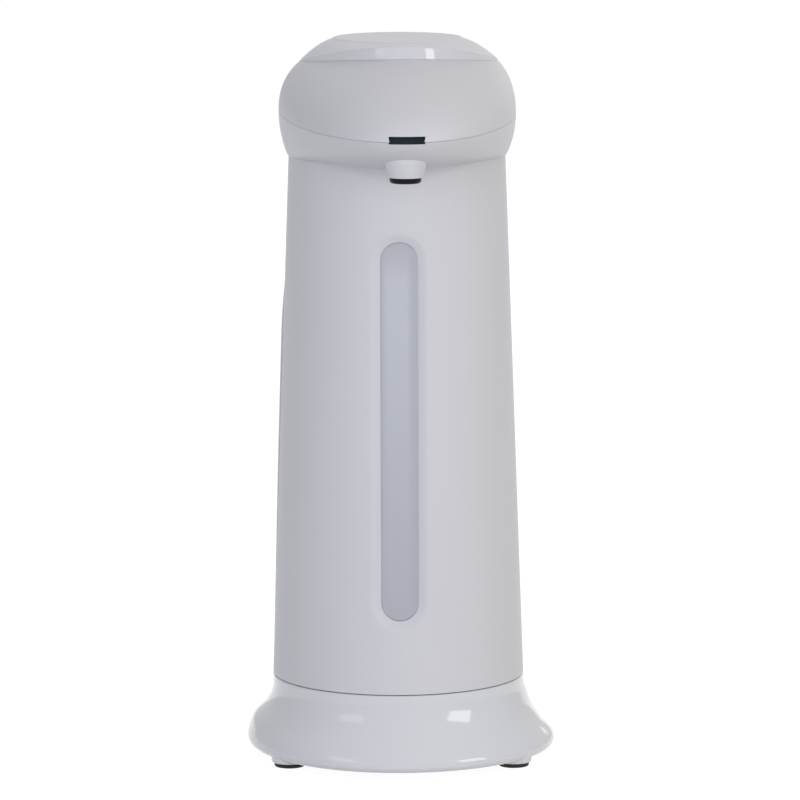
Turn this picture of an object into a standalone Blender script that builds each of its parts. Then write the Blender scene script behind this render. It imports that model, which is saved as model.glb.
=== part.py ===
"""Countertop automatic soap dispenser: a tapered round column on a flared stand, with a
beaked head, a refill lid, a soap tank with a level window, a battery box and a gear pump."""

import math

import bmesh
import bpy
from mathutils import Vector

MM = 0.001

# Shared sizes
total_height = 260 * MM
head_height = 42.5 * MM
wall = 2.2 * MM
gap = 0.3 * MM
overrun = 2 * MM
head_rim_height = total_height - head_height
ring_count = 40
middle_ring_count = 24
small_ring_count = 12

# Stand
stand_radius = 55.3 * MM
stand_height = 29 * MM
stand_lip_height = 6.6 * MM
stand_lip_base_radius = 53.1 * MM
stand_lip_base_height = 2.9 * MM
stand_lip_fullness_share = 0.45
stand_neck_radius = 45.35 * MM
stand_neck_band = 3.2 * MM
stand_flare_lean = 0.8 * MM
stand_flare_low_pull = 4.9 * MM
stand_flare_high_pull = 9.4 * MM
stand_deck_thickness = 2.4 * MM
stand_spigot_height = 4 * MM
stand_spigot_wall = 2 * MM
stand_flare_steps = 6
stand_lining_steps = 3
stand_lip_steps = 3

# Feet
foot_across = 40 * MM
foot_along = 27.4 * MM
foot_boss_radius = 6.2 * MM
foot_boss_height = 6 * MM
foot_pad_radius = 5.3 * MM
foot_pad_thickness = 1.3 * MM

# Column
column_seam = 0.6 * MM
column_foot_radius = 45.3 * MM
column_top_radius = 38.8 * MM
column_top = head_rim_height - gap
column_post_radius = 3.4 * MM
column_post_circle = 37.4 * MM
column_post_height = 18 * MM
column_post_angles = (-90, -12, 192)
column_rib_thickness = 2 * MM
tank_ledge_angles = (-145, -35)
tank_ledge_height = 8 * MM
tank_ledge_reach = 8 * MM
base_screw_radius = 1.3 * MM
base_screw_length = 14 * MM
base_screw_head_radius = 2.7 * MM
base_screw_head_height = 1.6 * MM

# Level window in its slot
slot_half_width = 6.9 * MM
slot_rise = 26.4 * MM
slot_drop = 26.8 * MM
slot_bottom = stand_height + slot_rise
slot_top = column_top - slot_drop
slot_rim_width = 2.6 * MM
slot_rim_outer_depth = 1.05 * MM
slot_rim_inner_depth = 1.95 * MM
slot_arc_steps = 10
window_face_depth = 1.9 * MM
window_flange_depth = 3.7 * MM
window_back_depth = 4.2 * MM
window_flange_width = 2.3 * MM

# Soap tank
tank_rise = 37 * MM
tank_headroom = 11.2 * MM
tank_bottom = stand_height + tank_rise
tank_top = column_top - tank_headroom
tank_back = 11.5 * MM
tank_wall = 1.6 * MM
tank_arc_steps = 30
tank_neck_radius = 13 * MM
tank_neck_bore = 11.2 * MM
tank_neck_height = 6 * MM
tank_spout_radius = 3.2 * MM
tank_spout_bore = 1.8 * MM
tank_spout_length = 5.6 * MM
sleeve_wall = 1.1 * MM
sleeve_grip = 3 * MM

# Battery box and its cover
cell_radius = 7.25 * MM
cell_length = 50.5 * MM
cell_nub_radius = 2.75 * MM
cell_nub_height = 1.1 * MM
cell_spacing = 15.6 * MM
cell_depth = 27.2 * MM
tray_wall = 1.8 * MM
tray_rise = 13 * MM
tray_floor = stand_height + tray_rise
tray_side_margin = 0.8 * MM
tray_side_depth = 5.6 * MM
spring_length = 6 * MM
spring_radius = 3 * MM
spring_wire_radius = 0.45 * MM
spring_turns = 3
spring_turn_points = 8
contact_thickness = 0.5 * MM
contact_width = 9 * MM
contact_clearance = 0.9 * MM
cover_drop = 42.2 * MM
cover_top = column_top - cover_drop
cover_ramp = 25 * MM
cover_edge = 3 * MM
cover_proud = 0.6 * MM
cover_foot_proud = 0.3 * MM
cover_arc_steps = 30
cover_grip_width = 26 * MM
cover_grip_radius = 0.9 * MM
cover_grip_pitch = 4 * MM
cover_grip_drop = 13 * MM
cover_grip_count = 3

# Pump, its gears and its motor
pump_rise = 18 * MM
pump_height = stand_height + pump_rise
drive_axis = -10 * MM
gear_module = 1.2 * MM
gear_teeth = 10
gear_width = 7.6 * MM
gear_pressure_angle = 25
gear_backlash_share = 0.22
gear_addendum_share = 0.85
gear_dedendum_share = 1.25
train_module = 0.6 * MM
pinion_teeth = 10
wheel_teeth = 30
wheel_width = 4 * MM
pump_face = 2 * MM
pump_wall = 2.2 * MM
pump_plate = 2 * MM
pump_back = 3.4 * MM
chamber_clearance = 0.4 * MM
shaft_radius = 1.5 * MM
shaft_bearing_depth = 2.2 * MM
motor_radius = 10 * MM
motor_flat = 7.7 * MM
motor_length = 25 * MM
motor_shaft_radius = 1 * MM
port_along = 6 * MM
port_radius = 3.2 * MM
port_bore = 1.8 * MM
outlet_radius = 2.4 * MM
outlet_bore = 1.2 * MM
outlet_length = 5.5 * MM
outlet_drop = 6.6 * MM
bracket_plate = 2.4 * MM
bracket_margin = 3 * MM
bracket_width = 16 * MM

# Soap tube: its way from the pump's outlet up behind the tank and over to the nozzle
tube_radius = 2.4 * MM
tube_samples = 46
tube_lead = 4.8 * MM
# The first points stand above the stand, the next above the head's rim, and the last
# behind the nozzle
tube_low_route = ((27.6 * MM, -13 * MM, 13 * MM), (28 * MM, -5 * MM, 16 * MM),
                  (26 * MM, 6 * MM, 20 * MM), (23 * MM, 13.6 * MM, 29 * MM),
                  (22.4 * MM, 14.6 * MM, 43 * MM), (22.4 * MM, 14.4 * MM, 91 * MM))
tube_high_route = ((22.4 * MM, 14.4 * MM, -57.5 * MM), (22.4 * MM, 14.4 * MM, -27.5 * MM),
                   (22.4 * MM, 14.4 * MM, -10.5 * MM), (23 * MM, 11 * MM, 1.5 * MM),
                   (24 * MM, 2 * MM, 9.5 * MM))
tube_beak_route = ((24 * MM, 58 * MM, 13.5 * MM), (18 * MM, 41 * MM, 16.5 * MM),
                   (9 * MM, 24 * MM, 18.5 * MM), (3 * MM, 11 * MM, 19.5 * MM),
                   (0.6 * MM, 3 * MM, 18.1 * MM), (0, 0, 13.5 * MM))

# Head shells
head_half_width = 42.3 * MM
head_reach = 87 * MM
seam_rise = 16.2 * MM
seam_height = head_rim_height + seam_rise
seam_drop = 3.8 * MM
head_rim_radius = 39.2 * MM
cover_side_pull = 10.6 * MM
cover_front_pull = 10.1 * MM
cowl_side_pull = 8.7 * MM
cowl_front_pull = 13.4 * MM
cowl_front_tuck_share = 0.897
head_spigot_radius = 36.2 * MM
head_spigot_depth = 4.5 * MM
head_spigot_wall = 1.8 * MM
head_profile_steps = 5
head_lining_steps = 3
head_deck_drop = 11.5 * MM
head_deck_height = total_height - head_deck_drop
head_deck_thickness = 2 * MM
head_opening_radius = 24.5 * MM
head_seat_share = 0.94

# Refill lid, its hinge and its seal
lid_half_width = 35.1 * MM
lid_reach = 45 * MM
lid_rear_reach = 34.5 * MM
lid_rise = 8.9 * MM
lid_edge_height = total_height - lid_rise
lid_front_rise = 4.2 * MM
lid_front_wall = 4 * MM
lid_front_fall = 1.3
lid_edge_thickness = 0.6 * MM
lid_thickness = 2.3 * MM
lid_skirt_share = 0.92
lid_skirt_inner_share = 0.86
lid_skirt_clearance = 0.6 * MM
lid_shoulder_plan_share = 0.48
lid_shoulder_rise_share = 0.76
lid_plateau_radius = 22.8 * MM
lid_centre = -8.5 * MM
lid_profile_steps = 4
lid_lining_shares = (1, 0.7, 0.4)
hinge_back = 36.9 * MM
hinge_rise = 1.4 * MM
hinge_height = lid_edge_height + hinge_rise
hinge_knuckle_radius = 1.9 * MM
hinge_knuckle_half_length = 6 * MM
hinge_ear_length = 4.2 * MM
hinge_pin_radius = 0.8 * MM
seal_radius = 25 * MM
seal_width = 2.2 * MM
seal_thickness = 2 * MM

# Filler funnel
funnel_centre = -8.5 * MM
funnel_flange_radius = 27 * MM
funnel_flange_thickness = 1.3 * MM
funnel_mouth_radius = 24 * MM
funnel_mouth_depth = 4 * MM
funnel_throat_rise = 8.8 * MM
funnel_throat_height = column_top + funnel_throat_rise
funnel_wall = 1.6 * MM
funnel_neck_radius = 10.4 * MM
funnel_neck_depth = 4.5 * MM

# Nozzle
nozzle_setback = 15 * MM
nozzle_forward = nozzle_setback - head_reach
nozzle_drop = 17 * MM
nozzle_foot = seam_height - nozzle_drop
nozzle_foot_radius = 6.25 * MM
nozzle_root_radius = 7.75 * MM
nozzle_root_rise = 5.8 * MM
nozzle_top_rise = 11.9 * MM
nozzle_root = nozzle_foot + nozzle_root_rise
nozzle_top = nozzle_foot + nozzle_top_rise
nozzle_bore = 3.3 * MM
tip_radius = 5.5 * MM
tip_drop = 2 * MM
tip_seat = 3.2 * MM
tip_round = 1.1 * MM
tip_bore = 1.6 * MM

# Hand sensor
sensor_drop = 2.9 * MM
sensor_height = seam_height - sensor_drop
sensor_width = 13 * MM
sensor_tall = 2.8 * MM
sensor_depth = 2.4 * MM
sensor_recess = 0.3 * MM
eye_radius = 1.25 * MM
eye_length = 3 * MM
eye_spacing = 7.6 * MM
board_thickness = 1.6 * MM
sensor_board_width = 16 * MM
sensor_board_height = 5.4 * MM

# Power button and control board
button_rise = 7.3 * MM
button_height = seam_height + button_rise
button_radius = 4.2 * MM
button_proud = 0.9 * MM
button_travel = 1 * MM
button_flange = 0.9 * MM
button_flange_thickness = 1 * MM
control_board_back = 29.5 * MM
control_board_width = 30 * MM
control_board_height = 19 * MM
switch_size = 6 * MM
switch_body = 2.4 * MM

# Head screws, in tabs inside the lower shell's spigot
head_screw_across = 30 * MM
head_screw_along = -6 * MM
head_screw_radius = 1.3 * MM
head_screw_head_radius = 2.6 * MM
head_screw_head_height = 1.6 * MM
head_screw_length = 12 * MM
head_tab_radius = 4.6 * MM
head_tab_thickness = 2.4 * MM
head_post_radius = 3 * MM

# The box round the whole object is centred on the world's origin, so the column's axis
# stands behind it by half of what the beak reaches further than the stand
axis_back = (head_reach - stand_radius) / 2


for old in list(bpy.data.objects):
    bpy.data.objects.remove(old, do_unlink=True)

axis = bpy.data.objects.new("column_axis", None)
axis.location = (0, axis_back, 0)
bpy.context.scene.collection.objects.link(axis)


def finish(name, colour, roughness, metallic=0, alpha=1):
    """A plain surface finish for one kind of piece."""
    material = bpy.data.materials.new(name)
    material.use_nodes = True
    shader = material.node_tree.nodes["Principled BSDF"]
    shader.inputs["Base Color"].default_value = (*colour, 1)
    shader.inputs["Roughness"].default_value = roughness
    shader.inputs["Metallic"].default_value = metallic
    shader.inputs["Alpha"].default_value = alpha
    return material


satin_white = finish("satin_white", (0.76, 0.76, 0.79), 0.45)
gloss_white = finish("gloss_white", (0.8, 0.8, 0.83), 0.12)
smoked_black = finish("smoked_black", (0.01, 0.012, 0.02), 0.1)
black_rubber = finish("black_rubber", (0.02, 0.02, 0.022), 0.7)
frosted_clear = finish("frosted_clear", (0.72, 0.76, 0.8), 0.3, alpha=0.6)
inner_white = finish("inner_white", (0.7, 0.7, 0.7), 0.5)
grey_nylon = finish("grey_nylon", (0.35, 0.36, 0.38), 0.5)
soft_silicone = finish("soft_silicone", (0.75, 0.77, 0.78), 0.4, alpha=0.7)
bright_steel = finish("bright_steel", (0.6, 0.6, 0.62), 0.25, metallic=1)
cell_jacket = finish("cell_jacket", (0.05, 0.05, 0.06), 0.3, metallic=0.4)
circuit_green = finish("circuit_green", (0.02, 0.18, 0.08), 0.4)


def put(name, shape, material, pivot=(0, 0, 0)):
    """Make a named object from a bmesh drawn about the column's axis."""
    bmesh.ops.recalc_face_normals(shape, faces=shape.faces[:])
    if shape.calc_volume(signed=True) < 0:
        bmesh.ops.reverse_faces(shape, faces=shape.faces[:])
    bmesh.ops.translate(shape, verts=shape.verts[:], vec=-Vector(pivot))
    mesh = bpy.data.meshes.new(name)
    shape.to_mesh(mesh)
    shape.free()
    mesh.shade_smooth()
    mesh.set_sharp_from_angle(angle=math.radians(35))
    mesh.materials.append(material)
    thing = bpy.data.objects.new(name, mesh)
    thing.location = pivot
    thing.parent = axis
    bpy.context.scene.collection.objects.link(thing)
    return thing


def tool(name, shape):
    """A hidden shape that a piece is cut or joined with."""
    thing = put(name, shape, inner_white)
    thing.hide_render = True
    thing.display_type = "WIRE"
    return thing


def combine(piece, other, operation):
    step = piece.modifiers.new(other.name, "BOOLEAN")
    step.operation = operation
    step.solver = "EXACT"
    step.object = other


def cut(piece, name, shape):
    combine(piece, tool(name, shape), "DIFFERENCE")


def add(piece, name, shape):
    combine(piece, tool(name, shape), "UNION")


def skin(rings, closed=False):
    """A body through rings of points. Its ends are capped, or joined when it is closed."""
    shape = bmesh.new()
    loops = [[shape.verts.new(point) for point in ring] for ring in rings]
    pairs = list(zip(loops, loops[1:]))
    if closed:
        pairs.append((loops[-1], loops[0]))
    for lower, upper in pairs:
        for index in range(len(lower)):
            following = (index + 1) % len(lower)
            shape.faces.new((lower[index], lower[following], upper[following], upper[index]))
    if not closed:
        shape.faces.new(loops[0][::-1])
        shape.faces.new(loops[-1])
    return shape


def circle(radius, height, centre=(0, 0), count=ring_count):
    turns = [math.tau * index / count for index in range(count)]
    return [(centre[0] + radius * math.sin(turn), centre[1] - radius * math.cos(turn), height)
            for turn in turns]


def turned(profile, centre=(0, 0), count=ring_count):
    """A solid turned about a vertical axis. The profile runs through (radius, height)."""
    return skin([circle(radius, height, centre, count) for radius, height in profile])


def hollow_turned(profile, centre=(0, 0), count=ring_count):
    return skin([circle(radius, height, centre, count) for radius, height in profile], True)


def block(low, high):
    x0, y0, z0 = low
    x1, y1, z1 = high
    return skin([[(x0, y0, z), (x1, y0, z), (x1, y1, z), (x0, y1, z)] for z in (z0, z1)])


def rod_x(radius, start, end, across, height, count=small_ring_count):
    """A round bar along X, its axis at Y = across and Z = height."""
    turns = [math.tau * index / count for index in range(count)]
    return skin([[(x, across + radius * math.cos(turn), height + radius * math.sin(turn))
                  for turn in turns] for x in (start, end)])


def rod_y(radius, start, end, along, height, count=small_ring_count):
    turns = [math.tau * index / count for index in range(count)]
    return skin([[(along + radius * math.cos(turn), y, height + radius * math.sin(turn))
                  for turn in turns] for y in (start, end)])


def quadratic(start, pull, end, share):
    rest = 1 - share
    return [rest * rest * a + 2 * rest * share * b + share * share * c
            for a, b, c in zip(start, pull, end)]


def cubic(start, first, second, end, share):
    rest = 1 - share
    return [rest ** 3 * a + 3 * rest * rest * share * b + 3 * rest * share * share * c
            + share ** 3 * d for a, b, c, d in zip(start, first, second, end)]


def shares(steps):
    return [step / steps for step in range(steps + 1)]


# Stand: one turned profile, from its deck out over the flare and back underneath
column_foot = stand_height + column_seam
spigot_radius = column_foot_radius - wall - gap
deck_top = stand_height - stand_deck_thickness / 2
deck_bottom = deck_top - stand_deck_thickness


def column_radius(height):
    share = (height - column_foot) / (column_top - column_foot)
    return column_foot_radius + (column_top_radius - column_foot_radius) * share


def flare_curve(inset, steps):
    neck = stand_height - stand_neck_band
    return [cubic((stand_radius - inset, stand_lip_height),
                  (stand_radius - inset, stand_lip_height + stand_flare_low_pull),
                  (stand_neck_radius + stand_flare_lean - inset, neck - stand_flare_high_pull),
                  (stand_neck_radius - inset, neck), share)
            for share in shares(steps)]


def build_stand():
    rise = stand_lip_height - stand_lip_base_height
    overhang = stand_radius - stand_lip_base_radius
    lip = [cubic((stand_lip_base_radius, stand_lip_base_height),
                 (stand_lip_base_radius + overhang * stand_lip_fullness_share,
                  stand_lip_base_height),
                 (stand_radius, stand_lip_height - rise * stand_lip_fullness_share),
                 (stand_radius, stand_lip_height), share)
           for share in shares(stand_lip_steps)]
    inner = [point for point in flare_curve(wall, stand_lining_steps)
             if point[1] < deck_bottom - wall]
    spigot_top = stand_height + stand_spigot_height
    spigot_inner = spigot_radius - stand_spigot_wall
    profile = [(stand_neck_radius - wall - wall, deck_bottom)]
    profile += inner[::-1]
    profile += [(stand_lip_base_radius - wall, stand_lip_base_height)]
    profile += lip + flare_curve(0, stand_flare_steps)[1:]
    profile += [(stand_neck_radius, stand_height), (spigot_radius, stand_height),
                (spigot_radius, spigot_top), (spigot_inner, spigot_top),
                (spigot_inner, deck_top)]
    stand = put("stand_base", turned(profile), gloss_white)
    boss_low = foot_pad_thickness + gap
    for side in (-1, 1):
        for front in (-1, 1):
            centre = (side * foot_across, front * foot_along)
            profile = [(foot_boss_radius - gap, boss_low), (foot_boss_radius, boss_low + gap),
                       (foot_boss_radius, boss_low + foot_boss_height)]
            label = ("front" if front < 0 else "rear") + ("_left" if side < 0 else "_right")
            add(stand, "foot_boss_" + label, turned(profile, centre, small_ring_count))
            pad = turned([(foot_pad_radius - gap, 0), (foot_pad_radius, gap),
                          (foot_pad_radius, foot_pad_thickness)], centre, small_ring_count)
            put("foot_pad_" + label, pad, black_rubber)
    for index, centre in enumerate(post_places()):
        hole = turned([(base_screw_radius + gap, deck_bottom - overrun),
                       (base_screw_radius + gap, deck_top + overrun)], centre, small_ring_count)
        cut(stand, f"base_screw_hole_{index}", hole)


def post_places():
    return [(column_post_circle * math.cos(math.radians(angle)),
             column_post_circle * math.sin(math.radians(angle))) for angle in column_post_angles]


def build_base_screws():
    """Three screws go up through the stand's deck into the column's posts."""
    head_low = deck_bottom - gap - base_screw_head_height
    for index, centre in enumerate(post_places()):
        profile = [(base_screw_head_radius, head_low), (base_screw_head_radius, deck_bottom - gap),
                   (base_screw_radius, deck_bottom - gap),
                   (base_screw_radius, head_low + base_screw_length)]
        put(f"base_screw_{index + 1}", turned(profile, centre, small_ring_count), bright_steel)


# Column: a tapered tube with the level slot in front and the battery opening behind
def stadium(half_width, low, high, depth):
    """An upright slot outline that lies at a depth under the column's front line."""
    points = []
    for step in range(slot_arc_steps + 1):
        turn = math.pi * step / slot_arc_steps
        points.append((half_width * math.cos(turn), high - half_width + half_width * math.sin(turn)))
    for step in range(slot_arc_steps + 1):
        turn = math.pi + math.pi * step / slot_arc_steps
        points.append((half_width * math.cos(turn), low + half_width + half_width * math.sin(turn)))
    return [(x, depth - column_radius(z), z) for x, z in points]


def slot_ring(growth, depth):
    return stadium(slot_half_width + growth, slot_bottom - growth, slot_top + growth, depth)


def column_rib(x, y, low, high):
    """A thin web from a screw post out to the column's wall."""
    out = Vector((x, y, 0)).normalized()
    side = out.cross(Vector((0, 0, 1))) * column_rib_thickness / 2
    far = out * (column_foot_radius - wall / 2)
    near = Vector((x, y, 0))
    corners = [near - side, near + side, far + side, far - side]
    return skin([[(point.x, point.y, height) for point in corners] for height in (low, high)])


def build_column():
    outer = [(column_foot_radius, column_foot), (column_top_radius, column_top)]
    inner = [(column_top_radius - wall, column_top), (column_foot_radius - wall, column_foot)]
    column = put("column_shell", hollow_turned(outer + inner), satin_white)
    cut(column, "level_slot", skin([slot_ring(0, -overrun), slot_ring(0, wall + overrun)]))
    taper = slot_rim_width / (slot_rim_inner_depth - slot_rim_outer_depth)
    reach = slot_rim_inner_depth + overrun
    cut(column, "slot_rim", skin([slot_ring(taper * reach, -overrun),
                                  slot_ring(0, slot_rim_inner_depth)]))
    side = column_foot_radius + overrun
    cut(column, "battery_opening", block((-side, cover_edge, column_foot - overrun),
                                         (side, side, cover_top)))
    low = stand_height + stand_spigot_height + gap
    high = low + column_post_height
    for index, (x, y) in enumerate(post_places()):
        add(column, f"column_rib_{index}", column_rib(x, y, low, high))
        post = turned([(column_post_radius, low), (column_post_radius, high)], (x, y),
                      small_ring_count)
        add(column, f"column_post_{index}", post)
        bore = turned([(base_screw_radius + gap, low - overrun),
                       (base_screw_radius + gap, high - overrun)], (x, y), small_ring_count)
        cut(column, f"column_post_bore_{index}", bore)
    high = tank_bottom - gap
    low = high - tank_ledge_height
    for index, angle in enumerate(tank_ledge_angles):
        inner = column_radius(high) - tank_ledge_reach
        x = inner * math.cos(math.radians(angle))
        y = inner * math.sin(math.radians(angle))
        add(column, f"tank_ledge_{index}", column_rib(x, y, low, high))


def build_level_window():
    """A clear strip that fills the slot, with a flange behind the column's wall."""
    edge = -gap
    flange = window_flange_width
    rings = [slot_ring(edge, window_face_depth), slot_ring(edge, window_flange_depth),
             slot_ring(flange, window_flange_depth), slot_ring(flange, window_back_depth)]
    put("level_window", skin(rings), frosted_clear)


# Soap tank: round in front, flat behind, with a filling neck on top and a spout below
def tank_ring(height, inset):
    radius = column_radius(height) - window_back_depth - gap - inset
    back = tank_back - inset
    reach = math.acos(-back / radius)
    turns = [reach * (2 * share - 1) for share in shares(tank_arc_steps)]
    return [(radius * math.sin(turn), -radius * math.cos(turn), height) for turn in turns]


def build_tank():
    tank = put("soap_tank", skin([tank_ring(tank_bottom, 0), tank_ring(tank_top, 0)]),
               frosted_clear)
    neck_low = tank_top - tank_wall
    neck = turned([(tank_neck_radius, neck_low), (tank_neck_radius, tank_top + tank_neck_height)],
                  (0, funnel_centre))
    add(tank, "tank_neck", neck)
    spout_place = (port_along, pump_mesh_across())
    spout = turned([(tank_spout_radius, tank_bottom - tank_spout_length),
                    (tank_spout_radius, tank_bottom + tank_wall)], spout_place, small_ring_count)
    add(tank, "tank_spout", spout)
    hollow = skin([tank_ring(tank_bottom + tank_wall, tank_wall),
                   tank_ring(tank_top - tank_wall, tank_wall)])
    cut(tank, "tank_hollow", hollow)
    bore = turned([(tank_neck_bore, neck_low - overrun),
                   (tank_neck_bore, tank_top + tank_neck_height + overrun)], (0, funnel_centre))
    cut(tank, "tank_neck_hole", bore)
    drain = turned([(tank_spout_bore, tank_bottom - tank_spout_length - overrun),
                    (tank_spout_bore, tank_bottom + tank_wall + overrun)], spout_place,
                   small_ring_count)
    cut(tank, "tank_drain", drain)


# Battery box: an open tray on the stand's deck, four cells in two columns, and the cover
def cell_places():
    return [(side * cell_spacing / 2, cell_depth) for side in (-1, 1)]


def cell_lows():
    first = tray_floor + contact_clearance + spring_length + gap
    return [first, first + cell_length + gap + gap]


def tray_extent():
    half = cell_spacing / 2 + cell_radius + tray_side_margin + tray_wall
    front = cell_depth - cell_radius - tray_side_margin - tray_wall
    top = cell_lows()[1] + cell_length + contact_thickness + gap + gap + tray_wall
    return half, front, top


def build_battery_box():
    half, front, top = tray_extent()
    back = cell_depth + tray_side_depth
    tray = put("battery_tray", block((-half, front, deck_top + gap), (half, back, top)), inner_white)
    cut(tray, "tray_cavity", block((tray_wall - half, front + tray_wall, tray_floor),
                                   (half - tray_wall, back + overrun, top - tray_wall)))
    relief = tray_floor - deck_top - tray_wall - tray_wall
    cut(tray, "tray_foot_relief", block((tray_wall - half, front + tray_wall, deck_top - overrun),
                                        (half - tray_wall, back + overrun, deck_top + relief)))
    for level, low in enumerate(cell_lows()):
        for column, (x, y) in enumerate(cell_places()):
            nub_at = cell_length - cell_nub_height
            edge = cell_nub_height
            profile = [(cell_radius - edge, low), (cell_radius, low + edge),
                       (cell_radius, low + nub_at - edge), (cell_radius - edge, low + nub_at),
                       (cell_nub_radius, low + nub_at), (cell_nub_radius, low + cell_length)]
            put(f"battery_{2 * level + column + 1}", turned(profile, (x, y), small_ring_count),
                cell_jacket)
    build_springs()
    plate_top = top - tray_wall - gap
    reach = cell_spacing / 2 + contact_width / 2
    put("battery_contact_plate", block((-reach, cell_depth - contact_width / 2,
                                        plate_top - contact_thickness),
                                       (reach, cell_depth + contact_width / 2, plate_top)),
        bright_steel)


def build_springs():
    """Two contact springs under the lower cells, each one unbroken coil."""
    for index, (x, y) in enumerate(cell_places()):
        low = tray_floor + gap + spring_wire_radius
        high = cell_lows()[0] - gap - spring_wire_radius
        curve = bpy.data.curves.new(f"battery_spring_{index + 1}", "CURVE")
        curve.dimensions = "3D"
        curve.bevel_depth = spring_wire_radius
        curve.bevel_resolution = 1
        curve.use_fill_caps = True
        coil = curve.splines.new("POLY")
        count = spring_turns * spring_turn_points + 1
        coil.points.add(count - 1)
        for step in range(count):
            turn = math.tau * step / spring_turn_points
            height = low + (high - low) * step / (count - 1)
            coil.points[step].co = (x + spring_radius * math.cos(turn),
                                    y + spring_radius * math.sin(turn), height, 1)
        thing = bpy.data.objects.new(curve.name, curve)
        curve.materials.append(bright_steel)
        thing.parent = axis
        bpy.context.scene.collection.objects.link(thing)


def cover_ring(height, proud):
    """A half ring of the battery cover, from one edge round the back to the other."""
    radii = (column_radius(height) + proud, column_radius(height) - wall)
    outline = []
    for radius, order in zip(radii, (1, -1)):
        start = math.asin((cover_edge + gap) / radius)
        turns = [start + (math.pi - 2 * start) * share for share in shares(cover_arc_steps)]
        outline += [(radius * math.cos(turn), radius * math.sin(turn), height)
                    for turn in turns[::order]]
    return outline


def build_battery_cover():
    low = column_foot
    rings = [cover_ring(low, cover_foot_proud), cover_ring(cover_top - cover_ramp, cover_proud),
             cover_ring(cover_top - gap - gap, 0)]
    cover = put("battery_cover", skin(rings), satin_white)
    for index in range(cover_grip_count):
        height = cover_top - cover_grip_drop - index * cover_grip_pitch
        depth = column_radius(height)
        bar = rod_x(cover_grip_radius, -cover_grip_width / 2, cover_grip_width / 2,
                    depth - cover_grip_radius / 2, height, small_ring_count)
        add(cover, f"cover_grip_{index}", bar)


# Gear pump: two meshed gears in a housing, driven by a motor through a pinion and a wheel
def pump_mesh_across():
    """Where the two pump gears mesh, half-way between their shafts."""
    return drive_axis - gear_module * gear_teeth / 2


def idler_axis():
    return drive_axis - gear_module * gear_teeth


def motor_axis():
    return drive_axis + train_module * (pinion_teeth + wheel_teeth) / 2


def gear_outline(module, teeth, turned_by):
    """Points of an involute gear about its own axis, for a tooth angle of turned_by."""
    pitch = module * teeth / 2
    pressure = math.radians(gear_pressure_angle)
    base = pitch * math.cos(pressure)
    tip = pitch + gear_addendum_share * module
    root = pitch - gear_dedendum_share * module
    half_at_pitch = math.pi / (2 * teeth) - gear_backlash_share * module / (2 * pitch)

    def half_angle(radius):
        if radius <= base:
            roll = 0
        else:
            roll = math.sqrt((radius / base) ** 2 - 1) - math.acos(base / radius)
        return half_at_pitch + math.tan(pressure) - pressure - roll

    radii = (root, pitch, tip)
    points = []
    for tooth in range(teeth):
        centre = math.tau * tooth / teeth + turned_by
        for radius in radii:
            points.append((radius, centre - half_angle(radius)))
        for radius in radii[::-1]:
            points.append((radius, centre + half_angle(radius)))
    return points


def put_gear(name, module, teeth, bore, span, across, turned_by=0):
    """A bored gear about an axis along X. Angles are counted from +Y towards +Z."""
    outline = gear_outline(module, teeth, turned_by)
    rings = [[(x, across + radius * math.cos(turn), pump_height + radius * math.sin(turn))
              for radius, turn in outline] for x in span]
    gear = put(name, skin(rings), grey_nylon, (0, across, pump_height))
    cut(gear, name + "_bore", rod_x(bore, span[0] - overrun, span[1] + overrun, across,
                                    pump_height))


def pump_span():
    """Where the pump's layers lie along X: plate, gear chamber and back wall."""
    plate_low = pump_face - gap - pump_plate
    gear_low = pump_face + gap
    gear_high = gear_low + gear_width
    chamber_end = gear_high + gap
    return plate_low, gear_low, gear_high, chamber_end


def pump_outline(radius, count):
    """A round-ended outline round both pump shafts."""
    half = count // 2
    points = []
    for centre, first in ((drive_axis, -math.pi / 2), (idler_axis(), math.pi / 2)):
        for step in range(half + 1):
            turn = first + math.pi * step / half
            points.append((centre + radius * math.cos(turn), pump_height + radius * math.sin(turn)))
    return points


def pump_slab(radius, start, end):
    outline = pump_outline(radius, middle_ring_count)
    return skin([[(x, y, z) for y, z in outline] for x in (start, end)])


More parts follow.
